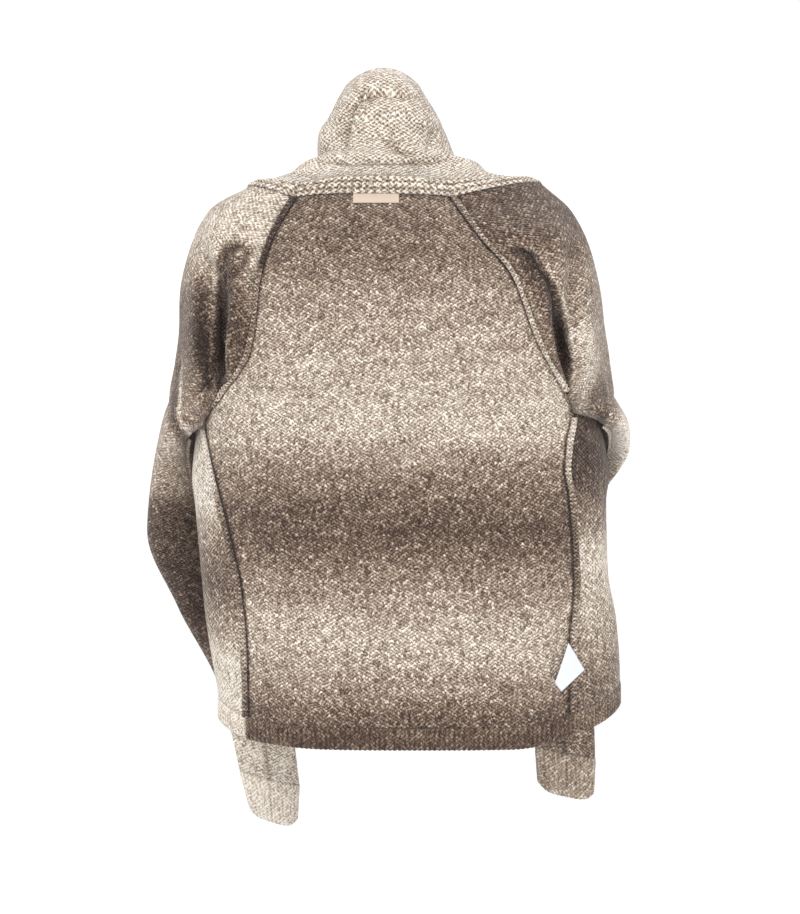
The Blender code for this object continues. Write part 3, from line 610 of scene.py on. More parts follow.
def sleeveRows(side):
    station = sleeveStations
    outerTable = sleeveOuter[side]
    outer = np.stack([smooth(outerTable, "station", k, station) for k in "xyz"], axis=-1)
    back = bodyPoint(*backSeam(side, np.minimum(station, 1)))
    front = bodyPoint(*frontSeam(side, np.minimum(station, 1)))
    innerTable = {"station": np.append(1.0, sleeveInner[side]["station"])}
    for k, value in zip("xyz", back[-1]):
        innerTable[k] = np.append(value, sleeveInner[side][k])
    inner = np.stack([smooth(innerTable, "station", k, station) for k in "xyz"], axis=-1)
    below = (station > 1)[:, None]
    back = np.where(below, inner, back)
    front = np.where(below, inner, front)
    half = np.linalg.norm(front - back, axis=-1) / 2
    deep = np.maximum(smooth(outerTable, "station", "deep", station), 1.02 * half)
    turn = np.radians(smooth(outerTable, "station", "turn", station))
    dip = np.radians(smooth(outerTable, "station", "dip", station))
    level = np.cos(dip)
    forward = np.stack([-side * np.sin(turn) * level, np.cos(turn) * level, -np.sin(dip)], axis=-1)
    opening = np.pi - np.arcsin(half / deep)
    cosine = np.cos(opening)[:, None]
    centre = ((front + back) / 2 - outer * cosine) / (1 - cosine)
    t = side * (2 * fine - 1)
    angle = (opening[:, None] * t)[..., None]
    reach = (outer - centre)[:, None]
    depth = (deep[:, None] * forward)[:, None]
    rows = centre[:, None] + reach * np.cos(angle) + depth * np.sin(angle)
    first, last = (back, front) if side > 0 else (front, back)
    share = fine[:, None]
    rows = rows + (first - rows[:, 0])[:, None] * (1 - share) ** 3
    rows = rows + (last - rows[:, -1])[:, None] * share**3
    rows = folded(side, rows, station, np.degrees(angle[..., 0]), t)
    rows = stoodOff(rows, station, t)
    return creased(rows, normalsOf(rows), viewFolds[side], t)


def folded(side, rows, station, angle, across):
    outward = normalsOf(rows)
    depth = np.zeros(angle.shape)
    folds = sleeveFolds[side]
    for i in range(len(folds["depth"])):
        fold = {name: column[i] for name, column in folds.items()}
        along = ease(fold["start"], fold["full"], station) - ease(fold["ease"], fold["end"], station)
        where = np.clip((station - fold["start"]) / (fold["end"] - fold["start"]), 0, 1)
        middle = mix(fold["angleStart"], fold["angleEnd"], where)
        shape = np.exp(-(((angle - middle[:, None]) / fold["width"]) ** 2))
        depth += fold["depth"] * along[:, None] * shape
    return rows - outward * (depth * (1 - across**8))[..., None]


def alongFolds(points, folds):
    # How strongly each point lies in the ways of the folds, as seen from behind
    x, z = points[..., 0], points[..., 2]
    total = np.zeros(x.shape)
    share = np.linspace(0, 1, 80)
    for fold in folds:
        nodes = dict(fold, share=np.linspace(0, 1, len(fold["x"])))
        way = {name: smooth(nodes, "share", name, share) for name in fold}
        dx, dz = np.gradient(way["x"]), np.gradient(way["z"])
        apart = (x[..., None] - way["x"]) ** 2 + (z[..., None] - way["z"]) ** 2
        nearest = np.argmin(apart, axis=-1)
        away = np.sqrt(np.min(apart, axis=-1))
        side = dx[nearest] * (z - way["z"][nearest]) - dz[nearest] * (x - way["x"][nearest])
        reach = np.where(side > 0, way["left"][nearest], way["right"][nearest])
        total += way["depth"][nearest] * np.exp(-((away / reach) ** 2))
    return total


def sunk(points, outward, folds):
    return alongFolds(points, folds) * ease(-0.30, 0.05, -outward[..., 1])


def creased(points, outward, folds, across=0.0):
    return points - outward * (sunk(points, outward, folds) * (1 - across**10))[..., None]


def stoodOff(rows, station, across):
    # Cloth that would lie in the body is drawn out from it, away from the seams
    x, y, z = rows[..., 0], rows[..., 1], rows[..., 2]
    centre, left, right = bodyHalves(-z)
    half = np.where(x < centre, left, right)
    back = smooth(bodyTable, "down", "back", -z)
    front = smooth(bodyTable, "down", "front", -z)
    depth = np.where(y < 0, back, front)
    square = np.where(y < 0, squareBack, squareFront)
    size = (np.abs(x - centre) / half) ** square + (np.abs(y) / depth) ** square
    reach = np.hypot(x - centre, y)
    beyond = reach * (1 - size ** (-1 / square))
    free = ease(1, 1.03, station)[:, None]
    clear = standOff * mix(1 - across**16, 1, free)
    window = mix(1 - across**30, 1, free)
    soft = 0.0025
    wanted = clear + soft * np.logaddexp(0, (beyond - clear) / soft)
    scale = 1 + (wanted - beyond) * window / reach
    return np.stack([centre + (x - centre) * scale, y * scale, z], axis=-1)


sleeveStations = np.linspace(0, 2.25, 361)
sleeves = {side: sleeveRows(side) for side in sides}


def sleeveAt(side, station):
    rows = sleeves[side]
    where = np.asarray(station) / sleeveStations[-1] * (len(rows) - 1)
    low = np.minimum(where.astype(int), len(rows) - 2)
    return mix(rows[low], rows[low + 1], (where - low)[:, None, None])


print("shapes ready")


# Materials

def toLinear(code):
    values = [int(code[i:i + 2], 16) / 255 for i in (1, 3, 5)]
    return [v / 12.92 if v <= 0.04045 else ((v + 0.055) / 1.055) ** 2.4 for v in values] + [1.0]


def addNode(tree, kind, inputs=(), **settings):
    node = tree.nodes.new("ShaderNode" + kind)
    for name, value in settings.items():
        setattr(node, name, value)
    for key, value in dict(inputs).items():
        if isinstance(value, bpy.types.NodeSocket):
            tree.links.new(value, node.inputs[key])
        else:
            node.inputs[key].default_value = value
    return node


def calculate(tree, operation, *values, clamp=False):
    node = addNode(tree, "Math", enumerate(values), operation=operation, use_clamp=clamp)
    return node.outputs[0]


def vector(tree, operation, inputs):
    return addNode(tree, "VectorMath", inputs, operation=operation).outputs[0]


def ramp(tree, factor, stops):
    node = addNode(tree, "ValToRGB", {"Fac": factor})
    elements = node.color_ramp.elements
    while len(elements) < len(stops):
        elements.new(0.5)
    for element, (position, code) in zip(elements, stops):
        element.position = position
        element.color = toLinear(code)
    return node.outputs["Color"]


yarnStops = (
    (0.13, "#2c1f18"), (0.34, "#4d3b31"), (0.46, "#6c584b"), (0.64, "#998573"),
    (0.82, "#c8b9a8"), (0.96, "#efe3d4"), (1.0, "#f7efe4"),
)


def startMaterial(name):
    made = bpy.data.materials.new(name)
    made.use_nodes = True
    tree = made.node_tree
    shader = tree.nodes["Principled BSDF"]
    shader.inputs["Roughness"].default_value = 0.92
    shader.inputs["Specular IOR Level"].default_value = 0.25
    shader.inputs["Sheen Weight"].default_value = 0.25
    shader.inputs["Sheen Roughness"].default_value = 0.45
    return made, tree, shader


def coordinates(tree, wobble=0.0007, scale=90):
    # Position on the flat cloth in metres, a little uneven as hand-tensioned yarn is
    flat = addNode(tree, "UVMap", uv_map="cloth").outputs["UV"]
    drift = noise(tree, flat, scale, 2.0, "Color")
    moved = vector(tree, "SUBTRACT", {0: drift, 1: (0.5, 0.5, 0.5)})
    scaled = vector(tree, "SCALE", {0: moved, "Scale": 4 * wobble})
    placed = vector(tree, "ADD", {0: flat, 1: scaled})
    parts = addNode(tree, "SeparateXYZ", {0: placed}).outputs
    return flat, parts[0], parts[1]


def yarnArc(tree, across, along, up):
    # One family of yarn arcs: how high the yarn stands, and which course it belongs to
    wave = calculate(tree, "COSINE", calculate(tree, "MULTIPLY", across, 2 * np.pi))
    shifted = calculate(tree, "MULTIPLY_ADD", wave, -0.30 * up, along)
    offset = calculate(tree, "ADD", shifted, 0.0 if up > 0 else 0.5)
    nearest = calculate(tree, "PINGPONG", offset, 0.5)
    reach = calculate(tree, "POWER", calculate(tree, "DIVIDE", nearest, 0.36), 2.0)
    roundness = calculate(tree, "SQRT", calculate(tree, "SUBTRACT", 1.0, reach, clamp=True))
    crown = calculate(tree, "MULTIPLY_ADD", wave, 0.28 * up, 0.72)
    return calculate(tree, "MULTIPLY", roundness, crown), calculate(tree, "ROUND", offset)


def noise(tree, at, scale, detail, output="Fac", **more):
    inputs = {"Vector": at, "Scale": scale, "Detail": detail}
    return addNode(tree, "TexNoise", dict(inputs, **more)).outputs[output]


def centred(tree, factor, weight, total):
    return calculate(tree, "MULTIPLY_ADD", calculate(tree, "SUBTRACT", factor, 0.5), weight, total)


def woolMaterial(name, wale, course, contrast, depth, paintedGapShade):
    # The reverse side of knitting: staggered arcs of marled yarn, each course with its own flecks, and
    # painted shade in the gaps between the arcs
    made, tree, shader = startMaterial(name)
    flat, u, v = coordinates(tree, wale * 0.26, 0.62 / wale)
    across = calculate(tree, "DIVIDE", u, wale)
    along = calculate(tree, "DIVIDE", v, course)
    high, highCourse = yarnArc(tree, across, along, 1)
    low, lowCourse = yarnArc(tree, across, along, -1)
    height = calculate(tree, "MAXIMUM", high, low)
    upper = calculate(tree, "GREATER_THAN", high, low)
    between = calculate(tree, "ADD", lowCourse, 0.37)
    row = addNode(tree, "Mix", {0: upper, 2: between, 3: highCourse}).outputs[0]
    marlAcross = calculate(tree, "MULTIPLY", across, 1.5)
    marlAlong = calculate(tree, "MULTIPLY", row, 5.3)
    marlPlace = addNode(tree, "CombineXYZ", {0: marlAcross, 1: marlAlong}).outputs[0]
    marl = noise(tree, marlPlace, 1.0, 1.5)
    fibre = noise(tree, flat, 4.6 / wale, 2.0)
    patch = addNode(tree, "Mapping", {"Vector": flat, "Scale": (14.0, 40.0, 1.0)}).outputs[0]
    cloud = noise(tree, patch, 1.0, 4.0, Roughness=0.6)
    tone = addNode(tree, "Attribute", attribute_name="tone").outputs["Fac"]
    total = centred(tree, marl, contrast, tone)
    total = centred(tree, fibre, 0.50, total)
    total = centred(tree, cloud, 0.30, total)
    # Painted shade: the colour darkens where the yarn sinks between the arcs
    sunken = calculate(tree, "SUBTRACT", height, 0.66)
    total = calculate(tree, "MULTIPLY_ADD", sunken, paintedGapShade, total)
    tree.links.new(ramp(tree, total, yarnStops), shader.inputs["Base Color"])
    relief = centred(tree, fibre, 0.30, height)
    bump = addNode(tree, "Bump", {"Height": relief, "Distance": depth, "Strength": 1.0})
    tree.links.new(bump.outputs[0], shader.inputs["Normal"])
    return made


materials = {
    # The last number of each is the painted shade in the gaps between yarn arcs
    "body": woolMaterial("wool reverse stitch", 0.0066, 0.0041, 1.35, 0.0018, 0.30),
    "chunky": woolMaterial("wool heavy yarn", 0.0074, 0.0046, 1.05, 0.0026, 0.40),
    "rib": woolMaterial("wool rib", 0.0054, 0.0043, 1.00, 0.0012, 0.22),
    "seam": woolMaterial("wool seam allowance", 0.0044, 0.0052, 1.20, 0.0018, 0.40),
}


def tapeMaterial(name, code, roughness):
    made, tree, shader = startMaterial(name)
    u, v = coordinates(tree, 0.0001)[1:]
    waves = [calculate(tree, "SINE", calculate(tree, "MULTIPLY", way, 9000.0)) for way in (u, v)]
    weave = calculate(tree, "MULTIPLY", *waves)
    bump = addNode(tree, "Bump", {"Height": weave, "Distance": 0.00008, "Strength": 0.6})
    tree.links.new(bump.outputs[0], shader.inputs["Normal"])
    shader.inputs["Base Color"].default_value = toLinear(code)
    shader.inputs["Roughness"].default_value = roughness
    return made


materials["neckTape"] = tapeMaterial("woven satin tape", "#c8b5a4", 0.6)
materials["careTape"] = tapeMaterial("white satin tape", "#dde0e6", 0.5)


# Shells

walls = {}


def gridQuads(grid):
    a, b = grid[:-1, :-1], grid[:-1, 1:]
    c, d = grid[1:, 1:], grid[1:, :-1]
    return np.stack([a, b, c, d], axis=-1).reshape(-1, 4)


def addPiece(name, points, quads, flat, tone, piece):
    mesh = bpy.data.meshes.new(name)
    mesh.vertices.add(len(points))
    mesh.vertices.foreach_set("co", points.astype(np.float32).ravel())
    mesh.loops.add(quads.size)
    mesh.loops.foreach_set("vertex_index", quads.astype(np.int32).ravel())
    mesh.polygons.add(len(quads))
    mesh.polygons.foreach_set("loop_start", np.arange(0, quads.size, 4, dtype=np.int32))
    mesh.update(calc_edges=True)
    layer = mesh.uv_layers.new(name="cloth")
    layer.data.foreach_set("uv", flat[quads.ravel()].astype(np.float32).ravel())
    shade = mesh.attributes.new("tone", "FLOAT", "POINT")
    shade.data.foreach_set("value", tone.astype(np.float32).ravel())
    mesh.shade_smooth()
    mesh.materials.append(materials[piece["material"]])
    made = bpy.data.objects.new(name, mesh)
    bpy.context.scene.collection.objects.link(made)
    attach(made, "root")
    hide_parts(*piece["nodes"])
    print(name, len(quads) * 2, "triangles")
    return made


def shell(name, piece, middle, tone, rise=0, outside={}, inside={}, anchor=0.5):
    # A cloth wall: its outside, raised by any relief, its inside, and the rims between them
    own = normalsOf(middle)
    out, back = own.copy(), own.copy()
    every = slice(None)
    edges = {"top": (0, every), "bottom": (-1, every), "first": (every, 0), "last": (every, -1)}
    for directions, given in ((out, outside), (back, inside)):
        for where, values in given.items():
            directions[edges[where]] = values
    thick = piece["thick"]
    rise = np.broadcast_to(rise, middle.shape[:2])[..., None]
    outer = middle + out * (thick / 2 + rise)
    inner = middle - back * thick / 2
    across = lengthsOf(middle)
    across = across - across[:, -1:] * anchor
    down = lengthsOf(middle.transpose(1, 0, 2)).mean(axis=0)
    flat = np.stack([across, -down[:, None] + 0 * across], axis=-1)
    tone = np.broadcast_to(tone, middle.shape[:2])
    count = middle.shape[0] * middle.shape[1]
    near = np.arange(count).reshape(middle.shape[:2])
    far = near + count
    rims = []
    turned = slice(None, None, -1)
    for edge in ((0, every), (-1, turned), (turned, 0), (every, -1)):
        rims.append(gridQuads(np.stack([near[edge], far[edge]])))
    quads = np.concatenate([gridQuads(near.T), gridQuads(far), *rims])
    points = np.concatenate([outer.reshape(-1, 3), inner.reshape(-1, 3)])
    flats = np.concatenate([flat.reshape(-1, 2)] * 2)
    # The inside wall gets painted shade: its tone is 0.06 lower
    shades = np.concatenate([tone.ravel(), tone.ravel() - 0.06])
    made = addPiece(name, points, quads, flats, shades, piece)
    walls[name] = dict(middle=middle, outer=outer, out=out, own=own)
    if piece.get("sheet", True):
        width = lengthsOf(middle)[:, -1].max()
        height = lengthsOf(middle.transpose(1, 0, 2))[:, -1].max()
        below, beside = (np.diff(middle, axis=axis) for axis in (0, 1))
        area = np.linalg.norm(np.cross(below[:, :-1], beside[:-1]), axis=-1).sum()
        area = float(min(area, width * height))
    return made


raglanStations = np.linspace(0, 1, 101)
seamStations = np.concatenate([raglanStations, np.linspace(1, 2, 91)[1:]])


def seamDirection(side, station, front):
    angle, down = (frontSeam if front else backSeam)(side, station)
    t = fine * 14 * side * (1 if front else -1)
    body = bodyPoint(angle[:, None] + t, down[:, None] + 0 * t)
    sleeve = sleeveAt(side, station)
    starts = (side > 0) != front
    sleeve = sleeve if starts else sleeve[:, ::-1]
    along = unit(np.gradient(body[:, 0], axis=0))
    into = []
    for rows in (body, sleeve):
        beside = place(rows, lengthsOf(rows), np.full((len(rows), 1), 0.009))[:, 0]
        into.append(squareTo(beside - body[:, 0], along))
    flip = 1 if starts else -1
    outward = bodyNormal(angle, down) + unit(np.cross(along, into[1])) * flip
    return unit(outward + into[0] + into[1])


directions = {
    (side, front): seamDirection(side, raglanStations, front)
    for side in sides
    for front in (False, True)
}


def seamOutward(side, station, front):
    fineOnes = directions[side, front]
    raglan = [np.interp(station, raglanStations, fineOnes[:, k]) for k in range(3)]
    below = bodyNormal(*backSeam(side, np.maximum(station, 1)))
    return np.where((station > 1)[:, None], below, unit(np.stack(raglan, axis=-1)))


def toneAt(name, z):
    return smooth(tones[name], "down", "tone", -z)


# Painted shadow: the dark line on the back beside each seam, where the rolled seam allowance shades the
# cloth

seamShade = {
    -1: table("down  dark", (0.00, 0.25), (0.08, 0.30), (0.10, 0.30), (0.20, 0.28),
              (0.28, 0.55), (0.62, 0.55)),
    1: table("down  dark", (0.00, 0.35), (0.08, 0.40), (0.17, 0.20), (0.24, 0.20),
             (0.28, 0.50), (0.62, 0.40)),
}


def makeBack():
    piece = dict(nodes=["back_panel"], material="body", slot="body_knit", thick=cloth)
    rows = even(backRows(seamStations), backColumns)
    outside = {"first": seamOutward(-1, seamStations, False),
               "last": seamOutward(1, seamStations, False)}
    run = lengthsOf(rows)
    tone = toneAt("back", rows[..., 2])
    for side, beside in ((-1, run), (1, run[:, -1:] - run)):
        # Painted shadow beside each seam
        strength = smooth(seamShade[side], "down", "dark", -rows[..., 2])
        tone = tone - strength * np.exp(-(((beside - 0.0038) / 0.0021) ** 2))
    shell("cloth_back_panel", piece, rows, tone, outside=outside)


def makeFront(side):
    name = f"front_{sides[side]}"
    piece = dict(nodes=[name + "_panel"], material="body", slot="body_knit", thick=cloth)
    rows = even(frontRows(side, seamStations), frontColumns)
    seam = "first" if side > 0 else "last"
    outside = {seam: seamOutward(side, seamStations, True)}
    anchor = 1.0 if side > 0 else 0.0
    tone = toneAt(name, rows[..., 2])
    shell(f"cloth_{name}_panel", piece, rows, tone, outside=outside, anchor=anchor)
    piece = dict(nodes=[f"front_band_{sides[side]}"], material="chunky", slot="chunky_knit",
                 thick=bandCloth)
    rows = even(bandRows(side, seamStations), bandColumns)
    shell(f"cloth_front_band_{sides[side]}", piece, rows, 0.72)


ribPitch = 0.0056


def ribbed(name, piece, top, bottom, tone, **given):
    count = int(round(lengthsOf(top[None])[0, -1] / ribPitch))
    rows = [even(row[None], count * ribColumns, 0)[0] for row in (top, bottom)]
    share = np.linspace(0, 1, 15)[:, None, None]
    start = rows[0] + unit(rows[1] - rows[0]) * gap
    middle = mix(start, rows[1], share)
    phase = np.arange(count * ribColumns + 1) / ribColumns
    wave = 0.5 - 0.5 * np.cos(2 * np.pi * phase)
    middle[..., 2] += (0.0009 * (wave - 0.5) * share[..., 0] ** 4)
    rise = 0.0004 + 0.0010 * wave[None] * ease(-0.05, 0.15, share[..., 0])
    # Painted light on the rib crests and painted shade in the troughs, following the raised wave
    shade = tone(share[..., 0]) + 0.10 * (wave[None] - 0.5)
    return shell(name, piece, middle, shade, rise, **given)


def makeHem():
    shade = {"back": 0.43, "front_left": 0.94, "front_right": 0.52}
    for name in shade:
        panel = "cloth_back_panel" if name == "back" else f"cloth_{name}_panel"
        piece = dict(nodes=[f"hem_rib_{name}"], material="rib", slot="rib_knit", thick=cloth)
        top = walls[panel]["middle"][-1]
        level = shade[name]
        ribbed(f"cloth_hem_rib_{name}", piece, top, top - [0, 0, hemHeight],
               lambda t: level - 0.08 * t + 0.06 * ease(0.8, 1, t))


cuffTaper = {-1: -0.010, 1: 0.0}


def makeSleeve(side):
    name = f"sleeve_{sides[side]}"
    piece = dict(nodes=[name], material="body", slot="sleeve_knit", thick=cloth)
    station = np.concatenate([raglanStations, np.linspace(1.01, 2, 115)])
    rows = even(sleeveAt(side, station), sleeveColumns)
    own = normalsOf(rows)
    inner = unit(own[:, 0] + own[:, -1])
    below = (station > 1)[:, None]
    outside = {}
    inside = {}
    for where, front, column in (("first", side < 0, 0), ("last", side > 0, -1)):
        outside[where] = np.where(below, inner, seamOutward(side, station, front))
        inside[where] = np.where((station >= 1)[:, None], inner, own[:, column])
    level = sleeveAt(side, station)[:, len(fine) // 2, 2]
    # Painted highlights along fold edges and painted shade in the hollows, mixed with darker yarn
    tone = toneAt(name, level[:, None] + 0 * rows[..., 0]) - alongFolds(rows, paintedLightAndYarnMarks[side])
    # Painted shade in the sleeve creases
    tone = tone - foldShade["sleeve"] * np.maximum(sunk(rows, own, viewFolds[side]), 0)
    shell("cloth_" + name, piece, rows, tone, outside=outside, inside=inside)
    bottom = even(sleeveAt(side, sleeveStations[-1:]), sleeveColumns)[0]
    reach = np.ptp(bottom[:, 0]) / 2
    aside = (bottom[:, 0] - bottom[:, 0].min()) / reach - 1
    taper = cuffTaper[side] * (1 + aside) / 2
    bottom = bottom + np.stack([taper, 0 * aside, 0.011 * np.abs(aside) ** 5], axis=-1)
    low = normalsOf(np.stack([rows[-1], bottom]))
    shared = unit(low[0, 0] + low[0, -1])
    ends = {"first": shared, "last": shared}
    piece = dict(nodes=[f"cuff_rib_{sides[side]}"], material="rib", slot="rib_knit", thick=cloth)
    shade = {-1: 0.94, 1: 0.72}[side]
    ribbed(f"cloth_cuff_rib_{sides[side]}", piece, rows[-1], bottom,
           lambda t: shade + 0.08 * ease(0.8, 1, t), outside=ends, inside=ends)


# The collar

def collarSizes(angle, rise):
    size = {name: smooth(collarTable, "rise", name, rise) for name in collarTable}
    half = np.where(angle < 0, size["left"], size["right"])
    middle = (size["front"] - size["back"]) / 2
    depth = (size["front"] + size["back"]) / 2
    return size, half, middle, depth


def collarPoint(angle, rise):
    size, half, middle, depth = collarSizes(angle, rise)
    backward = np.cos(np.radians(angle))
    far = np.where(backward > 0, size["zBack"], size["zFront"])
    z = size["zSide"] + (far - size["zSide"]) * backward**2
    return np.stack([half * np.sin(np.radians(angle)), middle - depth * backward, z], axis=-1)


def neckline(columns):
    names = ["front_band_left", "front_left_panel", "sleeve_left", "back_panel"]
    names += ["sleeve_right", "front_right_panel", "front_band_right"]
    names = ["cloth_" + name for name in names]
    edge = np.concatenate([walls[name]["middle"][0] for name in names])
    outward = np.concatenate([walls[name]["own"][0] for name in names])
    _, half, middle, depth = collarSizes(edge[:, 0], 0 * edge[:, 0])
    turn = np.degrees(np.unwrap(np.arctan2(edge[:, 0] / half, (middle - edge[:, 1]) / depth)))
    angle = np.linspace(turn[0], turn[-1], columns + 1)
    found = []
    for values in (edge, outward):
        found.append(np.stack([np.interp(angle, turn, values[:, k]) for k in range(3)], axis=-1))
    return angle, found[0], unit(found[1])


def evened(values, times):
    for _ in range(times):
        middle = (values[:-2] + 2 * values[1:-1] + values[2:]) / 4
        values = np.concatenate([values[:1], middle, values[-1:]])
    return values


collarFolds = foldsOf(
    (1, -0.028, 0.108, 0.002, 0.003, 0.006),
    (1, -0.034, 0.097, 0.006, 0.003, 0.008),
    (1, -0.039, 0.076, 0.006, 0.003, 0.009),
    (1, -0.042, 0.054, 0.003, 0.003, 0.008),
    (2, -0.029, 0.108, 0.002, 0.003, 0.008),
    (2, -0.020, 0.114, 0.006, 0.003, 0.010),
    (2, -0.002, 0.118, 0.006, 0.003, 0.012),
    (2, 0.018, 0.115, 0.005, 0.003, 0.012),
    (2, 0.038, 0.118, 0.002, 0.003, 0.008),
    (3, 0.066, 0.084, 0.002, 0.003, 0.006),
    (3, 0.058, 0.076, 0.005, 0.003, 0.008),
    (3, 0.054, 0.060, 0.004, 0.003, 0.008),
    (4, 0.006, 0.056, 0.002, 0.004, 0.006),
    (4, 0.018, 0.050, 0.006, 0.004, 0.008),
    (4, 0.034, 0.040, 0.003, 0.004, 0.006),
    (5, -0.070, 0.086, -0.003, 0.008, 0.008),
    (5, -0.067, 0.066, -0.005, 0.009, 0.008),
    (5, -0.064, 0.050, -0.002, 0.008, 0.008),
    (6, -0.020, 0.090, -0.003, 0.018, 0.014),
    (6, 0.010, 0.093, -0.005, 0.018, 0.014),
    (6, 0.035, 0.086, -0.003, 0.018, 0.014),
    (7, -0.075, 0.040, 0.003, 0.004, 0.007),
    (7, -0.030, 0.034, 0.006, 0.004, 0.007),
    (7, 0.030, 0.034, 0.006, 0.004, 0.007),
    (7, 0.080, 0.042, 0.003, 0.004, 0.007),
)


def makeCollar():
    angle, low, outward = neckline(collarColumns)
    toward = unit(collarPoint(angle, 0 * angle + 0.12) - low)
    top = evened(low + toward * 0.021, 60)
    share = np.linspace(1, 0, 25)[:, None, None]
    swell = squareTo(outward, toward) * 0.003 * np.sin(np.pi * share)
    middle = mix(low + toward * gap, top, share) + swell
    rise = np.linspace(1, 0, 105)[:, None]
    shift = (top - collarPoint(angle, 0 * angle)) * (1 - ease(0, 0.27, rise))[..., None]
    collar = collarPoint(angle + 0 * rise, rise + 0 * angle) + shift
    collar = creased(collar, normalsOf(collar), collarFolds)
    joined = squareTo(evened(normalsOf(collar)[-1] + normalsOf(middle)[0], 60), toward)
    run = lengthsOf(middle[-1][None])[0]
    ridges = np.abs(np.sin(3 * np.pi * share[..., 0]))
    knots = 0.6 + 0.4 * np.cos(2 * np.pi * run / 0.0085)[None]
    ends = {"top": joined, "bottom": outward}
    piece = dict(nodes=["collar_base_band"], material="chunky", slot="chunky_knit", thick=heavyCloth)
    # Painted light on the raised stitches and painted shade in the holes between them, following the
    # lift
    shade = 0.78 + 0.50 * (ridges * knots - 0.35)
    lift = 0.0016 * ridges * knots
    shell("cloth_collar_base_band", piece, middle, shade, lift, outside=ends, inside=ends)
    ends = {"bottom": joined}
    piece = dict(nodes=["collar"], material="chunky", slot="chunky_knit", thick=heavyCloth)
    # Painted shade in the collar's creases
    shade = np.maximum(sunk(collar, normalsOf(collar), collarFolds), 0)
    # Painted light: the low part of the collar, which faces down, is made up to 0.04 lighter
    tone = 0.86 + 0.04 * (1 - ease(0.10, 0.36, rise)) - foldShade["collar"] * shade
    shell("cloth_collar", piece, collar, tone, outside=ends, inside=ends)


# Rolled seam allowances

def seamEdge(pieces, last):
    column, beside = (-1, -3) if last else (0, 2)
    found = [(walls[name], rows) for name, rows in pieces]
    edge = np.concatenate([wall["outer"][rows, column] for wall, rows in found])
    inward = unit(np.concatenate([wall["outer"][rows, beside] for wall, rows in found]) - edge)
    outward = np.concatenate([wall["out"][rows, column] for wall, rows in found])
    return edge, inward, squareTo(outward, inward)


seamFoot = 0.0002
seamHeight = 0.0040
braidPitch = 0.0050


def cord(node, left, right, reaches, tone):
    first, intoFirst, outFirst = seamEdge(left, last=True)
    last, intoLast, outLast = seamEdge(right, last=False)
    outward = unit(outFirst + outLast)
    middle = (first + last) / 2
    along = np.concatenate([[0], np.cumsum(np.linalg.norm(np.diff(middle, axis=0), axis=-1))])
    count = int(along[-1] / 0.0014)
    at = np.linspace(0, along[-1], count)

    def spread(values):
        return np.stack([np.interp(at, along, values[:, k]) for k in range(3)], axis=-1)

    first, intoFirst, last, intoLast, outward, middle = [
        spread(values) for values in (first, intoFirst, last, intoLast, outward, middle)]
    turn = np.linspace(0, np.pi, 12)
    braid = np.sin(2 * np.pi * at / braidPitch)[:, None]
    stitch = 1 + 0.09 * braid + 0.07 * np.sin(at / 0.0131)[:, None]
    ring = []
    for angle in turn:
        side = np.cos(angle)
        base, into, reach = (first, intoFirst, reaches[0]) if side > 0 else (last, intoLast, reaches[1])
        height = seamFoot + seamHeight * np.sin(angle) ** 0.8 * stitch
        ring.append(base + into * (reach * abs(side)) * stitch + outward * height)
    grid = np.stack(ring, axis=1)
    across = np.linspace(0, 0.011, len(turn))[None] + 0 * at[:, None]
    flat = np.stack([at[:, None] + 0 * across, across], axis=-1)
    index = np.arange(grid.shape[0] * grid.shape[1]).reshape(grid.shape[:2])
    closed = np.concatenate([index, index[:, :1]], axis=1)
    piece = dict(nodes=[node], material="seam", slot="seam_knit")
    # Painted light where the braid swells and painted shade where it narrows
    shade = tone(-middle[:, 2])[:, None] + 0.10 * braid + 0 * across
    points, flats = grid.reshape(-1, 3), flat.reshape(-1, 2)
    addPiece("cloth_" + node, points, gridQuads(closed.T), flats, shade.ravel(), piece)
    print("length of", node, round(float(along[-1]), 3), "m")


def makeSeams(side):
    name = sides[side]
    raglan = slice(0, 92)
    below = slice(102, None)
    sleeve = [(f"cloth_sleeve_{name}", raglan)]
    back = [("cloth_back_panel", raglan)]
    front = [(f"cloth_front_{name}_panel", slice(4, 90))]
    frontSleeve = [(f"cloth_sleeve_{name}", slice(4, 90))]
    wide = (0.0050, 0.0025)
    bright = {-1: 0.0, 1: 0.14}[side]
    deepTop = {-1: 0.34, 1: 0.0}[side]
    lightSide = {-1: 0.38, 1: 0.22}[side]

    def backTone(down):
        mean = (toneAt("back", -down) + toneAt(f"sleeve_{name}", -down)) / 2
        return bright + mean - deepTop * (1 - ease(0.080, 0.095, down))

    def sideTone(down):
        return 0.10 + 0.75 * toneAt("back", -down) + lightSide * (1 - ease(0.32, 0.40, down))

    def tubeTone(down):
        return toneAt(f"sleeve_{name}", -down) - 0.08

    def seam(kind, first, last, reaches, tone):
        ends = (first, last, reaches) if side < 0 else (last, first, reaches[::-1])
        cord(f"{kind}_{name}", *ends, tone)

    seam("raglan_seam_back", sleeve, back, wide, backTone)
    seam("raglan_seam_front", front, frontSleeve, wide[::-1], backTone)
    front = [(f"cloth_front_{name}_panel", below)]
    back = [("cloth_back_panel", below)]
    seam("side_seam", front, back, wide, sideTone)
    tube = [(f"cloth_sleeve_{name}", slice(106, None))]
    cord(f"sleeve_seam_{name}", tube, tube, (0.0025, 0.0025), tubeTone)


# Labels

def onBack(x, down, lift):
    angle = bodyAngle(x, down)
    return bodyPoint(angle, down) + bodyNormal(angle, down) * lift


careCorners = table(
    "x      down",
    (0.1938, 0.564),
    (0.2092, 0.519),
    (0.2274, 0.550),
    (0.1995, 0.573),
)


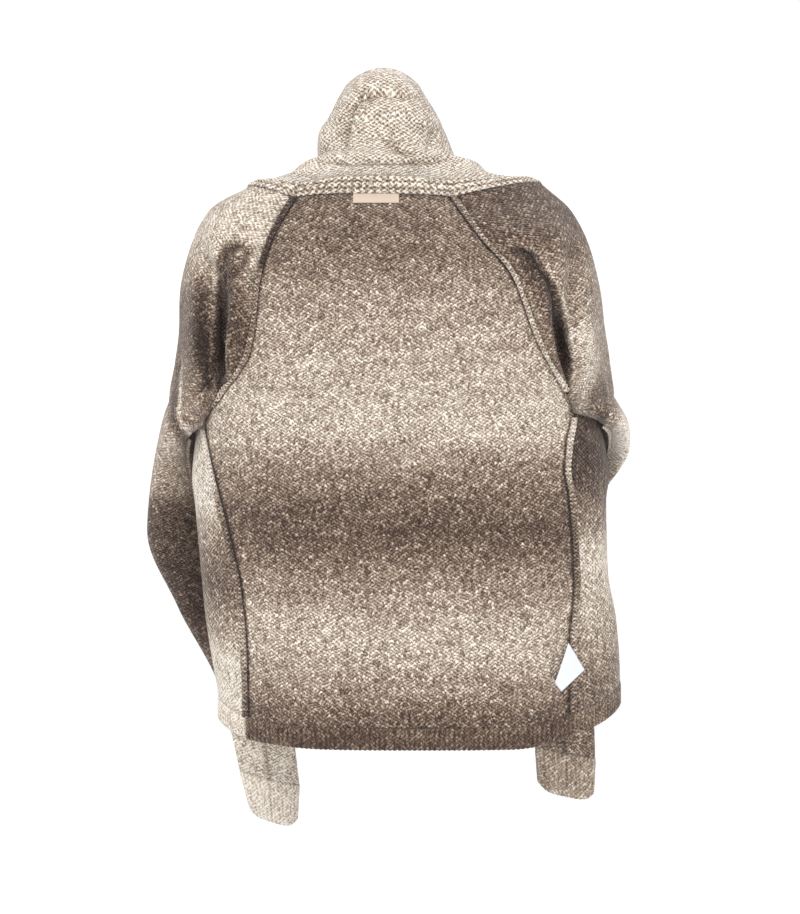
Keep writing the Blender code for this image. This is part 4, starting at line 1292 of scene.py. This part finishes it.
def makeLabels():
    piece = dict(nodes=["neck_label"], material="neckTape", slot="neck_tape", thick=tapeThick["neck"])
    x = np.linspace(-0.0350, 0.0180, 40)[None, :]
    down = np.linspace(0.0014, 0.0128, 12)[:, None]
    lift = cloth / 2 + 2 * gap + tapeThick["neck"] / 2
    shell("tape_neck_label", piece, onBack(x + 0 * down, down + 0 * x, lift), 0)
    piece = dict(nodes=["care_label"], material="careTape", slot="care_tape", thick=tapeThick["care"])
    u = np.linspace(0, 1, 24)[None, :]
    v = np.linspace(0, 1, 30)[:, None]
    corners = [mix(mix(c[0], c[1], u), mix(c[3], c[2], u), v) for c in careCorners.values()]
    lift = cloth / 2 + 0.0042 + 3 * gap + tapeThick["care"] / 2
    lift = lift + 0.004 * v * (1 - 0.6 * u) + 0.0010 * np.sin(3 * v + 2 * u)
    shell("tape_care_label", piece, onBack(*corners, lift[..., None]), 0)


makeBack()
for each in sides:
    makeFront(each)
    makeSleeve(each)
makeHem()
makeCollar()
for each in sides:
    makeSeams(each)
makeLabels()
print("pieces ready")


# Studio: a pale floor that curves up all round, soft light and the camera

def makeFloor():
    turn = np.linspace(0, np.pi / 2, 12)
    reach = np.concatenate([[0.0002], 4.5 + 1.5 * np.sin(turn), [6.0]])[:, None]
    z = np.concatenate([[0.0], 1.5 - 1.5 * np.cos(turn), [6.0]])[:, None] - 1.05
    around = np.linspace(0, 2 * np.pi, 65)[None]
    grid = np.stack([reach * np.sin(around), reach * np.cos(around), z + 0 * around], axis=-1)
    mesh = bpy.data.meshes.new("floor")
    index = np.arange(grid.size // 3).reshape(grid.shape[:2])
    mesh.from_pydata(grid.reshape(-1, 3).tolist(), [], gridQuads(index).tolist())
    mesh.shade_smooth()
    made = bpy.data.materials.new("white paper")
    made.use_nodes = True
    shader = made.node_tree.nodes["Principled BSDF"]
    shader.inputs["Base Color"].default_value = toLinear("#f4f4f4")
    shader.inputs["Roughness"].default_value = 0.9
    shader.inputs["Emission Color"].default_value = toLinear("#ffffff")
    shader.inputs["Emission Strength"].default_value = 0.28
    mesh.materials.append(made)
    floor = bpy.data.objects.new("floor", mesh)
    bpy.context.scene.collection.objects.link(floor)


lights = table(
    "x     y     z     size  power",
    (-1.7, -2.0, 1.5, 1.2, 36.0),
    (1.9, -1.8, 1.0, 1.2, 24.0),
    (0.0, -0.4, 2.2, 1.4, 23.0),
)


def makeLights():
    for i in range(len(lights["x"])):
        lamp = bpy.data.lights.new("softbox", "AREA")
        lamp.shape = "SQUARE"
        lamp.size = lights["size"][i]
        lamp.energy = lights["power"][i]
        made = bpy.data.objects.new("softbox", lamp)
        spot = np.array([lights[k][i] for k in "xyz"])
        made.location = spot
        aim = -spot + [0, 0, -0.3]
        made.rotation_euler = mathutils.Vector(aim).to_track_quat("-Z", "Y").to_euler()
        bpy.context.scene.collection.objects.link(made)
    world = bpy.data.worlds.new("studio")
    world.use_nodes = True
    world.node_tree.nodes["Background"].inputs["Color"].default_value = (1, 1, 1, 1)
    world.node_tree.nodes["Background"].inputs["Strength"].default_value = 0.30
    bpy.context.scene.world = world


def makeCamera():
    data = bpy.data.cameras.new("camera")
    data.sensor_fit = "VERTICAL"
    data.sensor_height = 36
    data.lens = 2000 / 914 * 36
    made = bpy.data.objects.new("camera", data)
    made.location = (0.0192, -2.4, -0.305)
    made.rotation_euler = (np.pi / 2, 0, 0)
    bpy.context.scene.collection.objects.link(made)
    bpy.context.scene.camera = made


makeFloor()
makeLights()
makeCamera()
bpy.context.scene.view_settings.view_transform = "Standard"
